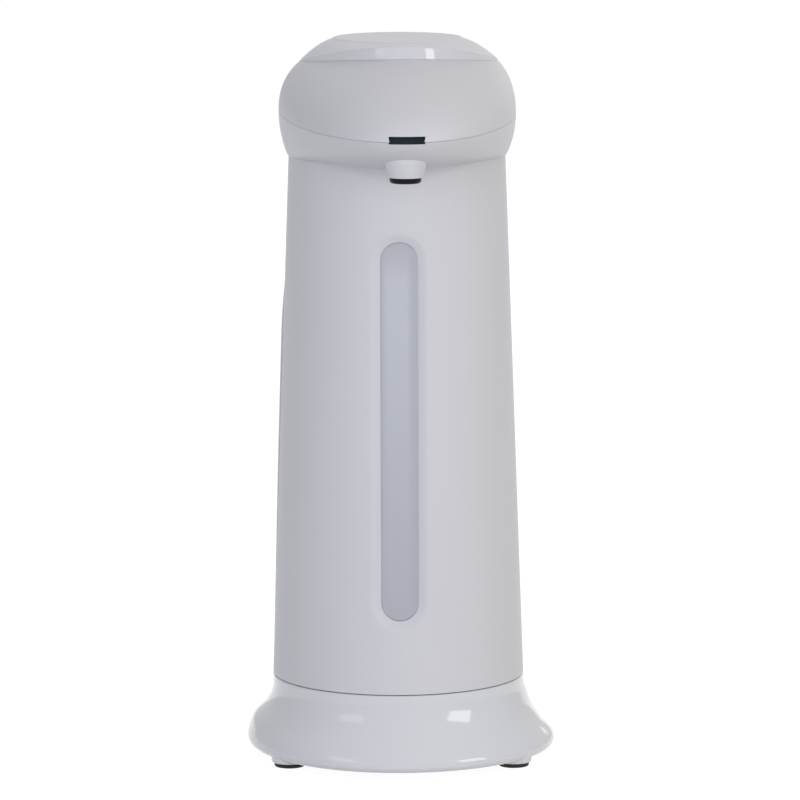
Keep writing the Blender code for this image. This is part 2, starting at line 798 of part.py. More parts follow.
def build_pump():
    plate_low, gear_low, gear_high, chamber_end = pump_span()
    tip = gear_module * gear_teeth / 2 + gear_addendum_share * gear_module
    chamber = tip + chamber_clearance
    outer = chamber + pump_wall
    body_end = chamber_end + pump_back
    housing = put("pump_housing", pump_slab(outer, pump_face, body_end), grey_nylon)
    mesh_across = pump_mesh_across()
    port_top = tank_bottom - tank_spout_length - gap
    port = turned([(port_radius, pump_height + chamber), (port_radius, port_top)],
                  (port_along, mesh_across), small_ring_count)
    add(housing, "inlet_port", port)
    outlet_height = pump_height - outlet_drop
    outlet = rod_x(outlet_radius, body_end - overrun, body_end + outlet_length, mesh_across,
                   outlet_height)
    add(housing, "outlet_port", outlet)
    for index, across in enumerate((drive_axis, idler_axis())):
        cut(housing, f"gear_chamber_{index}",
            rod_x(chamber, pump_face - overrun, chamber_end, across, pump_height,
                  middle_ring_count))
        cut(housing, f"shaft_bearing_{index}",
            rod_x(shaft_radius + gap, chamber_end - overrun, chamber_end + shaft_bearing_depth,
                  across, pump_height))
    inlet_bore = turned([(port_bore, pump_height), (port_bore, port_top + overrun)],
                        (port_along, mesh_across), small_ring_count)
    cut(housing, "inlet_bore", inlet_bore)
    rise = turned([(outlet_bore, outlet_height), (outlet_bore, pump_height)],
                  (port_along, mesh_across), small_ring_count)
    cut(housing, "outlet_rise", rise)
    run = rod_x(outlet_bore, port_along, body_end + outlet_length + overrun, mesh_across,
                outlet_height)
    cut(housing, "outlet_bore", run)

    plate_high = pump_face - gap
    plate = put("pump_cover", pump_slab(outer, plate_low, plate_high), grey_nylon)
    for index, across in enumerate((drive_axis, idler_axis())):
        cut(plate, f"plate_hole_{index}", rod_x(shaft_radius + gap, plate_low - overrun,
                                                plate_high + overrun, across, pump_height))

    wheel_high = plate_low - gap - gap
    wheel_low = wheel_high - wheel_width
    bore = shaft_radius + gap
    drive_pivot = (0, drive_axis, pump_height)
    put_gear("pump_drive_gear", gear_module, gear_teeth, bore, (gear_low, gear_high), drive_axis)
    put_gear("pump_idler_gear", gear_module, gear_teeth, bore, (gear_low, gear_high),
             idler_axis(), math.pi / gear_teeth)
    put_gear("reduction_wheel", train_module, wheel_teeth, bore, (wheel_low, wheel_high),
             drive_axis)
    shaft_end = chamber_end + shaft_bearing_depth - gap
    put("drive_shaft", rod_x(shaft_radius, wheel_low - gap, shaft_end, drive_axis, pump_height),
        bright_steel, drive_pivot)
    put("idler_shaft", rod_x(shaft_radius, plate_low, shaft_end, idler_axis(), pump_height),
        bright_steel)

    motor_pivot = (0, motor_axis(), pump_height)
    put_gear("motor_pinion", train_module, pinion_teeth, motor_shaft_radius + gap,
             (wheel_low, wheel_high), motor_axis(), math.pi / pinion_teeth)
    motor_face = wheel_low - gap - gap
    put("motor_shaft", rod_x(motor_shaft_radius, motor_face + gap, wheel_high, motor_axis(),
                             pump_height), bright_steel, motor_pivot)
    build_motor(motor_face)
    build_bracket(motor_face, outer, body_end)
    build_sleeve(port_top)
    return body_end + outlet_length, outlet_height


def build_motor(face):
    """A small can motor with two flat sides."""
    half = math.asin(motor_flat / motor_radius)
    turns = ([half * (2 * share - 1) for share in shares(6)]
             + [math.pi + half * (2 * share - 1) for share in shares(6)])
    rings = [[(x, motor_axis() + motor_radius * math.cos(turn),
               pump_height + motor_radius * math.sin(turn)) for turn in turns]
             for x in (face - motor_length, face)]
    put("pump_motor", skin(rings), bright_steel)


def build_bracket(motor_face, pump_outer, pump_end):
    """One moulded cradle on the deck carries the motor and the pump."""
    low = deck_top + gap
    plate_top = low + bracket_plate
    start = motor_face - motor_length + bracket_margin
    across_low = pump_mesh_across() - bracket_width / 2
    across_high = motor_axis() + bracket_width / 2
    bracket = put("pump_bracket", block((start, across_low, low), (pump_end, across_high, plate_top)),
                  grey_nylon)
    motor_seat = block((start, motor_axis() - bracket_width / 2, low),
                       (motor_face - bracket_margin, across_high, pump_height - motor_flat - gap))
    add(bracket, "motor_seat", motor_seat)
    pump_seat = block((pump_face, across_low, low),
                      (pump_end, pump_mesh_across() + bracket_width / 2,
                       pump_height - pump_outer - gap))
    add(bracket, "pump_seat", pump_seat)


def build_sleeve(port_top):
    """A silicone sleeve joins the tank's spout to the pump's inlet."""
    bore = tank_spout_radius + gap
    outer = bore + sleeve_wall
    low = port_top - sleeve_grip + gap
    high = port_top + sleeve_grip
    put("inlet_sleeve", hollow_turned([(bore, low), (outer, low), (outer, high), (bore, high)],
                                      (port_along, pump_mesh_across()), small_ring_count),
        soft_silicone)


# Head: a beaked shell in two halves that meet at a seam, which drops towards the beak
def front_weight(turn):
    return max(math.cos(turn), 0) ** 2


def blend(side, front, turn):
    return side + (front - side) * front_weight(turn)


def head_turns():
    """Angles round the head. Zero faces the beak."""
    return [math.tau * index / ring_count for index in range(ring_count)]


def oval(turn, half_width, front, rear):
    reach = front if math.cos(turn) > 0 else rear
    return half_width * math.sin(turn), -reach * math.cos(turn)


def seam_point(turn):
    x, y = oval(turn, head_half_width, head_reach, head_half_width)
    return x, y, seam_height + seam_drop * y / head_reach


def inward(x, y, amount):
    """Moves a point towards the column's axis, level with the floor."""
    length = math.hypot(x, y)
    return x * (length - amount) / length, y * (length - amount) / length


def lid_edge_oval(turn, share=1):
    x, y = oval(turn, lid_half_width, lid_reach, lid_rear_reach)
    return x * share, y * share


def front_fall(turn):
    return max(math.cos(turn), 0) ** lid_front_fall


def cover_edge_height(turn):
    return lid_edge_height + lid_front_rise * front_fall(turn)


def cover_skin(turn, inset, share):
    """A point of the head cover's outer skin, or of its inner one when inset is the wall."""
    x, y, seam = seam_point(turn)
    low_x, low_y = inward(x, y, inset)
    pull = blend(cover_side_pull, cover_front_pull, turn) - inset / 2
    if inset:
        edge_x, edge_y = inward(*lid_edge_oval(turn, head_seat_share), -inset)
        edge = cover_edge_height(turn) - inset - inset / 2
    else:
        edge_x, edge_y = lid_edge_oval(turn)
        edge = cover_edge_height(turn)
    low = seam + gap
    return quadratic((low_x, low_y, low), (low_x, low_y, low + pull), (edge_x, edge_y, edge), share)


def cowl_skin(turn, inset, share):
    """A point of the head's lower shell, outside or inside."""
    x, y, seam = seam_point(turn)
    tuck = blend(1, cowl_front_tuck_share, turn)
    drop = blend(cowl_side_pull, cowl_front_pull, turn)
    rim = (head_rim_radius * math.sin(turn), -head_rim_radius * math.cos(turn))
    if inset:
        seam_x, seam_y = inward(x, y, inset)
        pull_x, pull_y = inward(x * tuck, y * tuck, inset)
        rim = inward(*rim, inset)
    else:
        seam_x, seam_y = x, y
        pull_x, pull_y = x * tuck, y * tuck
    return quadratic((seam_x, seam_y, seam), (pull_x, pull_y, seam - drop + inset),
                     (*rim, head_rim_height + inset), share)


def build_cowl():
    turns = head_turns()
    steps = shares(head_profile_steps)
    rings = [[cowl_skin(turn, 0, share) for turn in turns] for share in steps]
    inner = head_spigot_radius - head_spigot_wall
    foot = head_rim_height - head_spigot_depth
    rings += [circle(head_spigot_radius, head_rim_height), circle(head_spigot_radius, foot),
              circle(inner, foot), circle(inner, head_rim_height + wall)]
    rings += [[cowl_skin(turn, wall, share) for turn in turns]
              for share in shares(head_lining_steps)[::-1]]
    cowl = put("head_lower_shell", skin(rings, True), satin_white)
    hole = turned([(nozzle_root_radius + gap, nozzle_foot - overrun),
                   (nozzle_root_radius + gap, nozzle_top + overrun)], (0, nozzle_forward))
    cut(cowl, "nozzle_hole", hole)
    cut(cowl, "sensor_slot_low", sensor_slot())
    low, high = head_tab_span()
    for index, centre in enumerate(head_screw_places()):
        tab = turned([(head_tab_radius, low), (head_tab_radius, high)], centre, small_ring_count)
        add(cowl, f"head_screw_tab_{index}", tab)
        hole = turned([(head_screw_radius + gap, low - overrun),
                       (head_screw_radius + gap, high + overrun)], centre, small_ring_count)
        cut(cowl, f"head_screw_hole_{index}", hole)


def build_head_cover():
    turns = head_turns()
    steps = shares(head_profile_steps)
    deck_low = head_deck_height - head_deck_thickness
    rings = [[cover_skin(turn, 0, share) for turn in turns] for share in steps]
    rings.append([(*lid_edge_oval(turn, head_seat_share), cover_edge_height(turn))
                  for turn in turns])
    rings.append([(*lid_edge_oval(turn, head_seat_share), head_deck_height) for turn in turns])
    rings.append(circle(head_opening_radius, head_deck_height, (0, funnel_centre)))
    rings.append(circle(head_opening_radius, deck_low, (0, funnel_centre)))
    rings.append([(*inward(*lid_edge_oval(turn, head_seat_share), -wall), deck_low)
                  for turn in turns])
    rings += [[cover_skin(turn, wall, share) for turn in turns]
              for share in shares(head_lining_steps)[::-1]]
    cover = put("head_cover", skin(rings, True), satin_white)
    cut(cover, "sensor_slot_high", sensor_slot())
    for index, centre in enumerate(head_screw_places()):
        low = head_tab_span()[1] + gap
        post = turned([(head_post_radius, low), (head_post_radius, deck_low + wall / 2)],
                      centre, small_ring_count)
        add(cover, f"head_post_{index}", post)
        bore = turned([(head_screw_radius + gap, low - overrun),
                       (head_screw_radius + gap, low + head_screw_length)],
                      centre, small_ring_count)
        cut(cover, f"head_post_bore_{index}", bore)
    near = hinge_knuckle_half_length + gap
    far = near + hinge_ear_length
    for side in (-1, 1):
        label = "left" if side < 0 else "right"
        start, end = sorted((side * near, side * far))
        add(cover, f"hinge_ear_{label}", rod_x(hinge_knuckle_radius, start, end, hinge_back,
                                               hinge_height))
        root = block((start, lid_rear_reach, lid_edge_height - lid_front_rise),
                     (end, hinge_back + hinge_knuckle_radius / 2, hinge_height))
        add(cover, f"hinge_root_{label}", root)
    pin_reach = far - hinge_pin_radius + gap
    cut(cover, "hinge_pin_hole", rod_x(hinge_pin_radius + gap, -pin_reach, pin_reach, hinge_back,
                                       hinge_height))
    hole = rod_y(button_radius + gap, control_board_back + switch_body, head_half_width + overrun,
                 0, button_height, middle_ring_count)
    cut(cover, "button_hole", hole)


# Refill lid: a low dome with a flat top, whose front ends in an upright wall
def lid_skin(turn, share):
    edge_top = cover_edge_height(turn) + lid_edge_thickness + lid_front_wall * front_fall(turn)
    edge = (*lid_edge_oval(turn), edge_top)
    flat = (lid_plateau_radius * math.sin(turn), lid_centre - lid_plateau_radius * math.cos(turn),
            total_height)
    pull = (flat[0] + (edge[0] - flat[0]) * lid_shoulder_plan_share,
            flat[1] + (edge[1] - flat[1]) * lid_shoulder_plan_share,
            edge[2] + (flat[2] - edge[2]) * lid_shoulder_rise_share)
    return quadratic(edge, pull, flat, share)


def lid_lining(turn, share):
    """The lid's underside, between its skirt and its flat top."""
    x, y, z = lid_skin(turn, share)
    skirt_x, skirt_y = lid_edge_oval(turn, lid_skirt_inner_share)
    flat_x, flat_y, _ = lid_skin(turn, 1)
    x = skirt_x + (flat_x - skirt_x) * share
    y = skirt_y + (flat_y - skirt_y) * share
    return x, y, z - lid_thickness


def build_lid():
    turns = head_turns()
    skirt_low = head_deck_height + lid_skirt_clearance
    rings = [[lid_lining(turn, share) for turn in turns] for share in lid_lining_shares]
    rings.append([(*lid_edge_oval(turn, lid_skirt_inner_share), skirt_low) for turn in turns])
    rings.append([(*lid_edge_oval(turn, lid_skirt_share), skirt_low) for turn in turns])
    rings.append([(*lid_edge_oval(turn, lid_skirt_share), cover_edge_height(turn) + gap)
                  for turn in turns])
    rings.append([(*lid_edge_oval(turn), cover_edge_height(turn) + gap) for turn in turns])
    rings += [[lid_skin(turn, share) for turn in turns] for share in shares(lid_profile_steps)]
    pivot = (0, hinge_back, hinge_height)
    lid = put("refill_lid", skin(rings), satin_white, pivot)
    half = hinge_knuckle_half_length
    tongue = block((-half, lid_rear_reach - wall, lid_edge_height + gap + gap),
                   (half, hinge_back, hinge_height + hinge_knuckle_radius / 2))
    add(lid, "lid_tongue", tongue)
    add(lid, "lid_knuckle", rod_x(hinge_knuckle_radius, -half, half, hinge_back, hinge_height))
    cut(lid, "lid_pin_bore", rod_x(hinge_pin_radius + gap, -half - overrun, half + overrun,
                                   hinge_back, hinge_height))
    inner = seal_radius - seal_width / 2
    outer = seal_radius + seal_width / 2
    seal_low = head_deck_height + gap + funnel_flange_thickness + gap
    seal_high = seal_low + seal_thickness
    rib_low = seal_high + gap
    rib_high = rib_low + lid_thickness + seal_thickness
    rib = hollow_turned([(inner, rib_low), (outer, rib_low), (outer, rib_high), (inner, rib_high)],
                        (0, funnel_centre), middle_ring_count)
    add(lid, "lid_seal_rib", rib)
    seal = hollow_turned([(inner, seal_low), (outer, seal_low), (outer, seal_high),
                          (inner, seal_high)], (0, funnel_centre), middle_ring_count)
    put("lid_seal", seal, soft_silicone, pivot)
    pin_reach = half + gap + hinge_ear_length - hinge_pin_radius
    put("lid_hinge_pin", rod_x(hinge_pin_radius, -pin_reach, pin_reach, hinge_back, hinge_height),
        bright_steel)


def build_funnel():
    """The filling funnel hangs on the head's deck and dips into the tank's neck."""
    flange_low = head_deck_height + gap
    flange_high = flange_low + funnel_flange_thickness
    neck_low = tank_top + tank_neck_height - funnel_neck_depth
    mouth_low = flange_low - funnel_mouth_depth
    profile = [(funnel_flange_radius, flange_low), (funnel_flange_radius, flange_high),
               (funnel_mouth_radius - funnel_wall, flange_high),
               (funnel_mouth_radius - funnel_wall, mouth_low),
               (funnel_neck_radius - funnel_wall, funnel_throat_height),
               (funnel_neck_radius - funnel_wall, neck_low), (funnel_neck_radius, neck_low),
               (funnel_neck_radius, funnel_throat_height), (funnel_mouth_radius, mouth_low),
               (funnel_mouth_radius, flange_low)]
    put("filler_funnel", hollow_turned(profile, (0, funnel_centre), middle_ring_count),
        inner_white)
    seal_low = tank_top + tank_neck_height + gap
    seal_high = seal_low + seal_thickness
    inner = funnel_neck_radius + gap
    seal = hollow_turned([(inner, seal_low), (tank_neck_radius, seal_low),
                          (tank_neck_radius, seal_high), (inner, seal_high)],
                         (0, funnel_centre), middle_ring_count)
    put("neck_seal", seal, soft_silicone)


def build_nozzle():
    centre = (0, nozzle_forward)
    count = middle_ring_count
    seat = nozzle_foot + tip_seat
    profile = [(nozzle_foot_radius, nozzle_foot), (nozzle_root_radius, nozzle_root),
               (nozzle_root_radius, nozzle_top), (nozzle_bore, nozzle_top), (nozzle_bore, seat),
               (tip_radius + gap, seat), (tip_radius + gap, nozzle_foot)]
    put("nozzle_shroud", hollow_turned(profile, centre, count), satin_white)
    low = nozzle_foot - tip_drop
    rounding = [quadratic((tip_radius - tip_round, low), (tip_radius, low),
                          (tip_radius, low + tip_round), share) for share in shares(3)]
    profile = rounding + [(tip_radius, seat - gap), (tip_bore, seat - gap), (tip_bore, low)]
    put("nozzle_tip", hollow_turned(profile, centre, count), smoked_black)


# Hand sensor: a dark window at the seam, two eyes behind it and their board
def sensor_slot():
    half = sensor_width / 2 + gap
    tall = sensor_tall / 2 + gap
    return block((-half, -head_reach - overrun, sensor_height - tall),
                 (half, wall + overrun - head_reach, sensor_height + tall))


def build_sensor():
    half = sensor_width / 2
    xs = [half * (2 * share - 1) for share in shares(6)]
    front = [(x, sensor_recess - head_reach * math.sqrt(1 - (x / head_half_width) ** 2))
             for x in xs]
    outline = front + [(x, y + sensor_depth) for x, y in front[::-1]]
    heights = (sensor_height - sensor_tall / 2, sensor_height + sensor_tall / 2)
    put("sensor_window", skin([[(x, y, z) for x, y in outline] for z in heights]), smoked_black)
    eye_x = eye_spacing / 2
    eye_front = (sensor_recess + sensor_depth + gap
                 - head_reach * math.sqrt(1 - ((eye_x + eye_radius) / head_half_width) ** 2))
    eye_back = eye_front + eye_length
    put("infrared_emitter", rod_y(eye_radius, eye_front, eye_back, -eye_x, sensor_height),
        soft_silicone)
    put("infrared_receiver", rod_y(eye_radius, eye_front, eye_back, eye_x, sensor_height),
        smoked_black)
    board_front = eye_back + gap
    board_low = nozzle_top + gap
    half_board = sensor_board_width / 2
    put("sensor_board", block((-half_board, board_front, board_low),
                              (half_board, board_front + board_thickness,
                               board_low + sensor_board_height)), circuit_green)


def build_controls():
    """The power button at the back of the head, its switch and the control board."""
    half = control_board_width / 2
    top = head_deck_height - head_deck_thickness - gap
    back = control_board_back
    put("control_board", block((-half, back - board_thickness, top - control_board_height),
                               (half, back, top)), circuit_green)
    reach = switch_size / 2
    face = back + gap + switch_body
    put("power_switch", block((-reach, back + gap, button_height - reach),
                              (reach, face, button_height + reach)), smoked_black)
    turn = math.pi
    skin_back = max(cover_skin(turn, 0, share)[1] for share in shares(head_profile_steps)
                    if cover_skin(turn, 0, share)[2] > button_height)
    stem = face + button_travel + gap
    flange = skin_back - wall - wall - button_travel
    count = middle_ring_count
    profile = [(shaft_radius, stem), (shaft_radius, flange - button_flange_thickness),
               (button_radius + button_flange, flange - button_flange_thickness),
               (button_radius + button_flange, flange), (button_radius, flange),
               (button_radius, skin_back + button_proud)]
    turns = [math.tau * index / count for index in range(count)]
    rings = [[(radius * math.cos(turn), y, button_height + radius * math.sin(turn))
              for turn in turns] for radius, y in profile]
    put("power_button", skin(rings), satin_white, (0, stem, button_height))


def head_screw_places():
    return [(side * head_screw_across, head_screw_along) for side in (-1, 1)]


def head_tab_span():
    low = head_rim_height - head_spigot_depth + head_screw_head_height
    return low, low + head_tab_thickness


def build_head_screws():
    """Two screws pull the cover down onto the lower shell, from inside the column."""
    low = head_tab_span()[0] - gap - head_screw_head_height
    for label, centre in zip(("left", "right"), head_screw_places()):
        profile = [(head_screw_head_radius, low),
                   (head_screw_head_radius, low + head_screw_head_height),
                   (head_screw_radius, low + head_screw_head_height),
                   (head_screw_radius, low + head_screw_length)]
        put("head_screw_" + label, turned(profile, centre, small_ring_count), bright_steel)


def smooth_path(points, samples):
    """Places on a smooth curve that runs through each of the points."""
    points = [Vector(point) for point in points]
    ends = [points[0] * 2 - points[1]] + points + [points[-1] * 2 - points[-2]]
    places = []
    pieces = len(points) - 1
    for sample in range(samples + 1):
        along = sample / samples * pieces
        piece = min(int(along), pieces - 1)
        share = along - piece
        a, b, c, d = ends[piece:piece + 4]
        places.append((b * 2 + (c - a) * share + (a * 2 - b * 5 + c * 4 - d) * share ** 2
                       + (b * 3 - a - c * 3 + d) * share ** 3) / 2)
    return places


def build_tube(outlet_end, outlet_height):
    """The soap tube climbs behind the tank and crosses the head to the nozzle."""
    start = Vector((outlet_end + gap, pump_mesh_across(), outlet_height))
    end = Vector((0, nozzle_forward, nozzle_foot + tip_seat + gap))
    ends = [start, start + Vector((tube_lead, 0, 0)), end + Vector((0, 0, tube_lead)), end]
    low = [(x, y, stand_height + height) for x, y, height in tube_low_route]
    high = [(x, y, head_rim_height + height) for x, y, height in tube_high_route]
    beak = [(x, nozzle_forward + behind, head_rim_height + height)
            for x, behind, height in tube_beak_route]
    places = smooth_path([*ends[:2], *low, *high, *beak, *ends[2:]], tube_samples)
    curve = bpy.data.curves.new("soap_tube", "CURVE")
    curve.dimensions = "3D"
    curve.bevel_depth = tube_radius
    curve.bevel_resolution = 2
    curve.use_fill_caps = True
    line = curve.splines.new("POLY")
    line.points.add(len(places) - 1)
    for point, place in zip(line.points, places):
        point.co = (*place, 1)
    curve.materials.append(soft_silicone)
    thing = bpy.data.objects.new("soap_tube", curve)
    thing.parent = axis
    bpy.context.scene.collection.objects.link(thing)


build_stand()
build_base_screws()
build_column()
build_level_window()
build_tank()
build_battery_box()
build_battery_cover()
build_tube(*build_pump())
build_cowl()
build_head_cover()
build_lid()
build_funnel()
build_nozzle()
build_sensor()
build_controls()
build_head_screws()
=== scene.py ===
import math

import bmesh
import bpy
from mathutils import Matrix, Vector, kdtree


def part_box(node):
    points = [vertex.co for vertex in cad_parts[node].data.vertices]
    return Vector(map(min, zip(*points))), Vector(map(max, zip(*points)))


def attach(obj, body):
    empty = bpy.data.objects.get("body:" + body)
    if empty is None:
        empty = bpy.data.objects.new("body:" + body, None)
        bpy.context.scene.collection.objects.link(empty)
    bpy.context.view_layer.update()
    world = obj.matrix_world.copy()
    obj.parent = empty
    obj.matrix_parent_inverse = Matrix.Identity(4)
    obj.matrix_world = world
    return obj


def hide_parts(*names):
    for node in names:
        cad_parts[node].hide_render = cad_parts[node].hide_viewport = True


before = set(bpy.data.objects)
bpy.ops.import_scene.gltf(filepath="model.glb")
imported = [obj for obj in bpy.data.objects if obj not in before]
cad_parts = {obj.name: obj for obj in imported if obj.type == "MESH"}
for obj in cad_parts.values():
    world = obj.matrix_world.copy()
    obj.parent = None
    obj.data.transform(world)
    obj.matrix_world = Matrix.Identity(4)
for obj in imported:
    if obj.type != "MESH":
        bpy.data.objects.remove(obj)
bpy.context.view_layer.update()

# Shapes are drawn in millimetres about the column's axis, which stands on the floor
MM = 0.001
stand_low, stand_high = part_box("stand_base")
axis_y = (stand_low.y + stand_high.y) / 2

gap, hairline, lid_gap = 0.3, 0.08, 0.03
wall = 2.2
round_count, small_round_count = 144, 48

column_foot, column_foot_radius = 29.38, 45.3
column_top, column_top_radius = 217.42, 38.8
slot_half_width, slot_bottom, slot_top = 6.65, 55.4, 190.0
slot_rim_width, slot_rim_depth, slot_rim_curve = 3.3, 1.9, 1.25
slot_back_width, slot_back_depth = 2.0, 0.4
# In front, the wall is drawn out of the slot as far as this to each side
slot_field = 26.0
window_face_depth, window_back_depth, window_flange_depth = 2.4, 4.2, 3.7
window_crown, window_flange, window_play = 0.35, 2.3, 0.02
# The painted side shade on the level window is centred this far left of the axis, in millimetres
window_shade_shift = 1.3
cover_edge, cover_top, cover_ramp = 3.0, 175.0, 25.0
cover_foot_proud, cover_proud, cover_ease = 0.05, 0.45, 0.1
cover_side_play, cover_top_play = 0.16, 0.25
cover_tilt, tilt_foot, tilt_foot_fade, tilt_top_fade = 0.4, 30.0, 90.0, 18.0
bar_half_width, bar_radius, bar_lift = 13.0, 0.95, 0.42
bar_depth_share, bar_end_share = 0.75, 0.12
bar_drop, bar_step, bar_count = 13.0, 4.0, 3

stand_radius, stand_height = 55.3, 29.0
lip_height, lip_base_radius, lip_base_height, lip_roundness = 5.0, 53.8, 3.0, 0.45
stand_neck_radius, neck_band = 45.35, 3.2
flare_start, flare_end, flare_lean = 4.3, 9.4, 0.8
stand_deck_sink, stand_deck_wall = 1.2, 2.4
stand_spigot_height, stand_spigot_wall = 4.0, 2.0
screw_circle, screw_angles, screw_bore, screw_hole = 37.4, (-90, -12, 192), 1.6, (20, 30)
post_radius, post_height = 3.4, 18.0
foot_across, foot_along = 40.0, 27.4
foot_shift = {"left": 1.0, "right": 1.3}
boss_radius, boss_low, boss_high = 6.6, 1.5, 5.4
pad_radius, pad_high = 5.65, 1.45

head_half_width, head_reach = 42.3, 87.0
seam_height, seam_drop = 233.7, 3.8
cover_side_pull, cover_front_pull = 10.6, 10.1
beak_tuck, side_drop, beak_drop = 0.897, 8.7, 13.4
rim_radius, rim_height = 39.2, 217.5
spigot_radius, spigot_depth, spigot_wall = 36.2, 4.5, 1.8
tab_across, tab_forward, tab_radius, tab_low, tab_high = 30.0, -6.0, 4.6, 214.6, 217.0
deck_height, deck_thickness, opening_radius = 248.5, 2.0, 24.5
seat_share = 0.94
# The slot stands a little left of the beak: how far each part is turned, in degrees
column_twist, head_twist, stand_twist = -0.8, 0.6, -1.7
lid_half_width, lid_reach, lid_rear_reach = 35.1, 45.0, 34.5
lid_nose_share, lid_shift = 0.83, 0.85
lid_corner_swell, lid_corner_waves, lid_corner_end, lid_corner_fade = 0.25, 10.6, 0.35, 0.25
lid_edge_height, lid_front_rise = 251.1, 3.9
lid_rim, lid_front_wall, lid_wall_lean = 0.3, 4.3, 0.2
lid_centre, lid_plateau_radius, top_height = -8.5, 23.4, 260.0
plateau_step, dome_pull_out, dome_pull_up = 0.6, 0.48, 0.76
lid_thickness, skirt_inner, skirt_outer, skirt_gap = 2.3, 0.86, 0.92, 0.6
seal_inner, seal_outer, seal_low, seal_high = 23.9, 26.1, 250.4, 252.4
rib_low, rib_high = 253.0, 257.4
hinge_back, hinge_height, knuckle_radius, knuckle_half = 36.9, 252.5, 1.9, 6.0
ear_width, ear_bore, knuckle_bore = 4.2, 0.9, 0.95
nozzle_forward, nozzle_foot, nozzle_hole = -72.0, 216.7, 7.3
cone_foot_radius, cone_radius, cone_bore, cone_top = 6.05, 7.45, 3.3, 228.6
tip_seat, tip_radius, tip_bore = 219.9, 5.5, 1.6
sensor_height, sensor_half_width, sensor_half_tall = 230.75, 6.2, 1.22
sensor_face, sensor_back = 0.35, 2.7
button_height, button_radius, button_face = 241.0, 4.2, 40.95
button_flange, button_stem = 5.1, 1.5
button_hole_play, button_hole_start, button_hole_end = 0.25, 33, 46
funnel_flange, bowl_radius, throat_radius, funnel_wall = 27.0, 22.4, 8.8, 1.6
throat_top, throat_foot = 226.0, 207.5
cell_radius, cell_tip_height, cell_tip_radius = 7.25, 1.1, 2.75
coil_radius, wire_radius, coil_turns, coil_steps = 3.0, 0.42, 4.0, 144


# Finishes
class Field:
    """A value that changes over a surface, for use in plain sums."""

    def __init__(self, shading, socket):
        self.shading = shading
        self.socket = socket

    def maths(self, operation, first, second=0.0):
        return self.shading.node("ShaderNodeMath", {"operation": operation},
                                 {0: first, 1: second})

    def __add__(self, other):
        return self.maths("ADD", self, other)

    def __radd__(self, other):
        return self.maths("ADD", other, self)

    def __sub__(self, other):
        return self.maths("SUBTRACT", self, other)

    def __rsub__(self, other):
        return self.maths("SUBTRACT", other, self)

    def __mul__(self, other):
        return self.maths("MULTIPLY", self, other)

    def __rmul__(self, other):
        return self.maths("MULTIPLY", other, self)

    def __abs__(self):
        return self.maths("ABSOLUTE", self)

    def ramp(self, low, high):
        """0 below low, 1 above high, with a soft step between."""
        return self.shading.node("ShaderNodeMapRange", {"interpolation_type": "SMOOTHSTEP"},
                                 {"Value": self, "From Min": low, "From Max": high}, "Result")


class Shading:
    """A node tree. Every node that is added to it comes from one method."""

    def __init__(self, tree):
        self.tree = tree

    def feed(self, socket, value):
        """Links a field to a socket, or sets the socket's own value."""
        if isinstance(value, Field):
            self.tree.links.new(value.socket, socket)
        else:
            socket.default_value = value

    def node(self, kind, settings=None, sockets=None, out=0):
        node = self.tree.nodes.new(kind)
        for label, value in (settings or {}).items():
            setattr(node, label, value)
        for label, value in (sockets or {}).items():
            self.feed(node.inputs[label], value)
        return Field(self, node.outputs[out])


class Finish(Shading):
    """One surface finish: a principled shader and the fields that vary over it."""

    def __init__(self, name, **constants):
        self.material = bpy.data.materials.new(name)
        self.material.use_nodes = True
        super().__init__(self.material.node_tree)
        self.shader = self.tree.nodes["Principled BSDF"]
        for label, value in constants.items():
            self.feed(self.shader.inputs[label.replace("_", " ")], value)
        self.places = self.node("ShaderNodeTexCoord", out="Object")

    def noise(self, scale, detail=2.0, rough=0.5, places=None):
        return self.node("ShaderNodeTexNoise", sockets={
            "Vector": places or self.places, "Scale": scale, "Detail": detail,
            "Roughness": rough})

    def stretched(self, x, y, z):
        return self.node("ShaderNodeMapping", sockets={"Vector": self.places,
                                                       "Scale": (x, y, z)})

    def axis(self, letter):
        return self.node("ShaderNodeSeparateXYZ", sockets={"Vector": self.places}, out=letter)

    def tint(self, factor, low, high):
        """A colour between two, as a factor says."""
        low, high = [(*colour, 1) if isinstance(colour, tuple) else colour
                     for colour in (low, high)]
        return self.node("ShaderNodeMix", {"data_type": "RGBA"},
                         {"Factor": factor, 6: low, 7: high}, out=2)

    def bump(self, height, strength, distance):
        return self.node("ShaderNodeBump", sockets={"Height": height, "Strength": strength,
                                                    "Distance": distance}, out="Normal")

    def wear(self, colour, rough, normal):
        for label, value in (("Base Color", colour), ("Roughness", rough), ("Normal", normal)):
            self.feed(self.shader.inputs[label], value)
        return self.material


def moulded_plastic(name, pale, deep, rough, grain, **constants):
    """Textured mould plastic: a fine spark grain, faint flow marks and a drift of tone."""
    finish = Finish(name, **constants)
    drift = finish.noise(16.0, 3.0)
    flow = finish.noise(1.0, 2.0, 0.6, finish.stretched(90.0, 90.0, 22.0))
    spark = finish.noise(4200.0, 2.0, 0.65)
    speck = finish.noise(1500.0, 1.0)
    colour = finish.tint(drift * 0.6 + flow * 0.4, deep, pale)
    roughness = rough + (spark - 0.5) * 0.12 + (drift - 0.5) * 0.06
    height = spark * 0.7 + speck * 0.3
    return finish.wear(colour, roughness, finish.bump(height, grain, 0.00006))


def polished_plastic(name, pale, deep, rough, **constants):
    """Polished mould plastic: a clear gloss over faint sinks, with a few fine handling marks."""
    finish = Finish(name, **constants)
    drift = finish.noise(14.0, 2.0)
    sink = finish.noise(45.0, 2.0)
    marks = finish.noise(1.0, 3.0, 0.7, finish.stretched(900.0, 120.0, 300.0))
    colour = finish.tint(drift, deep, pale)
    roughness = rough + marks.ramp(0.62, 0.8) * 0.1 + (drift - 0.5) * 0.03
    return finish.wear(colour, roughness, finish.bump(sink + marks * 0.02, 0.12, 0.0004))


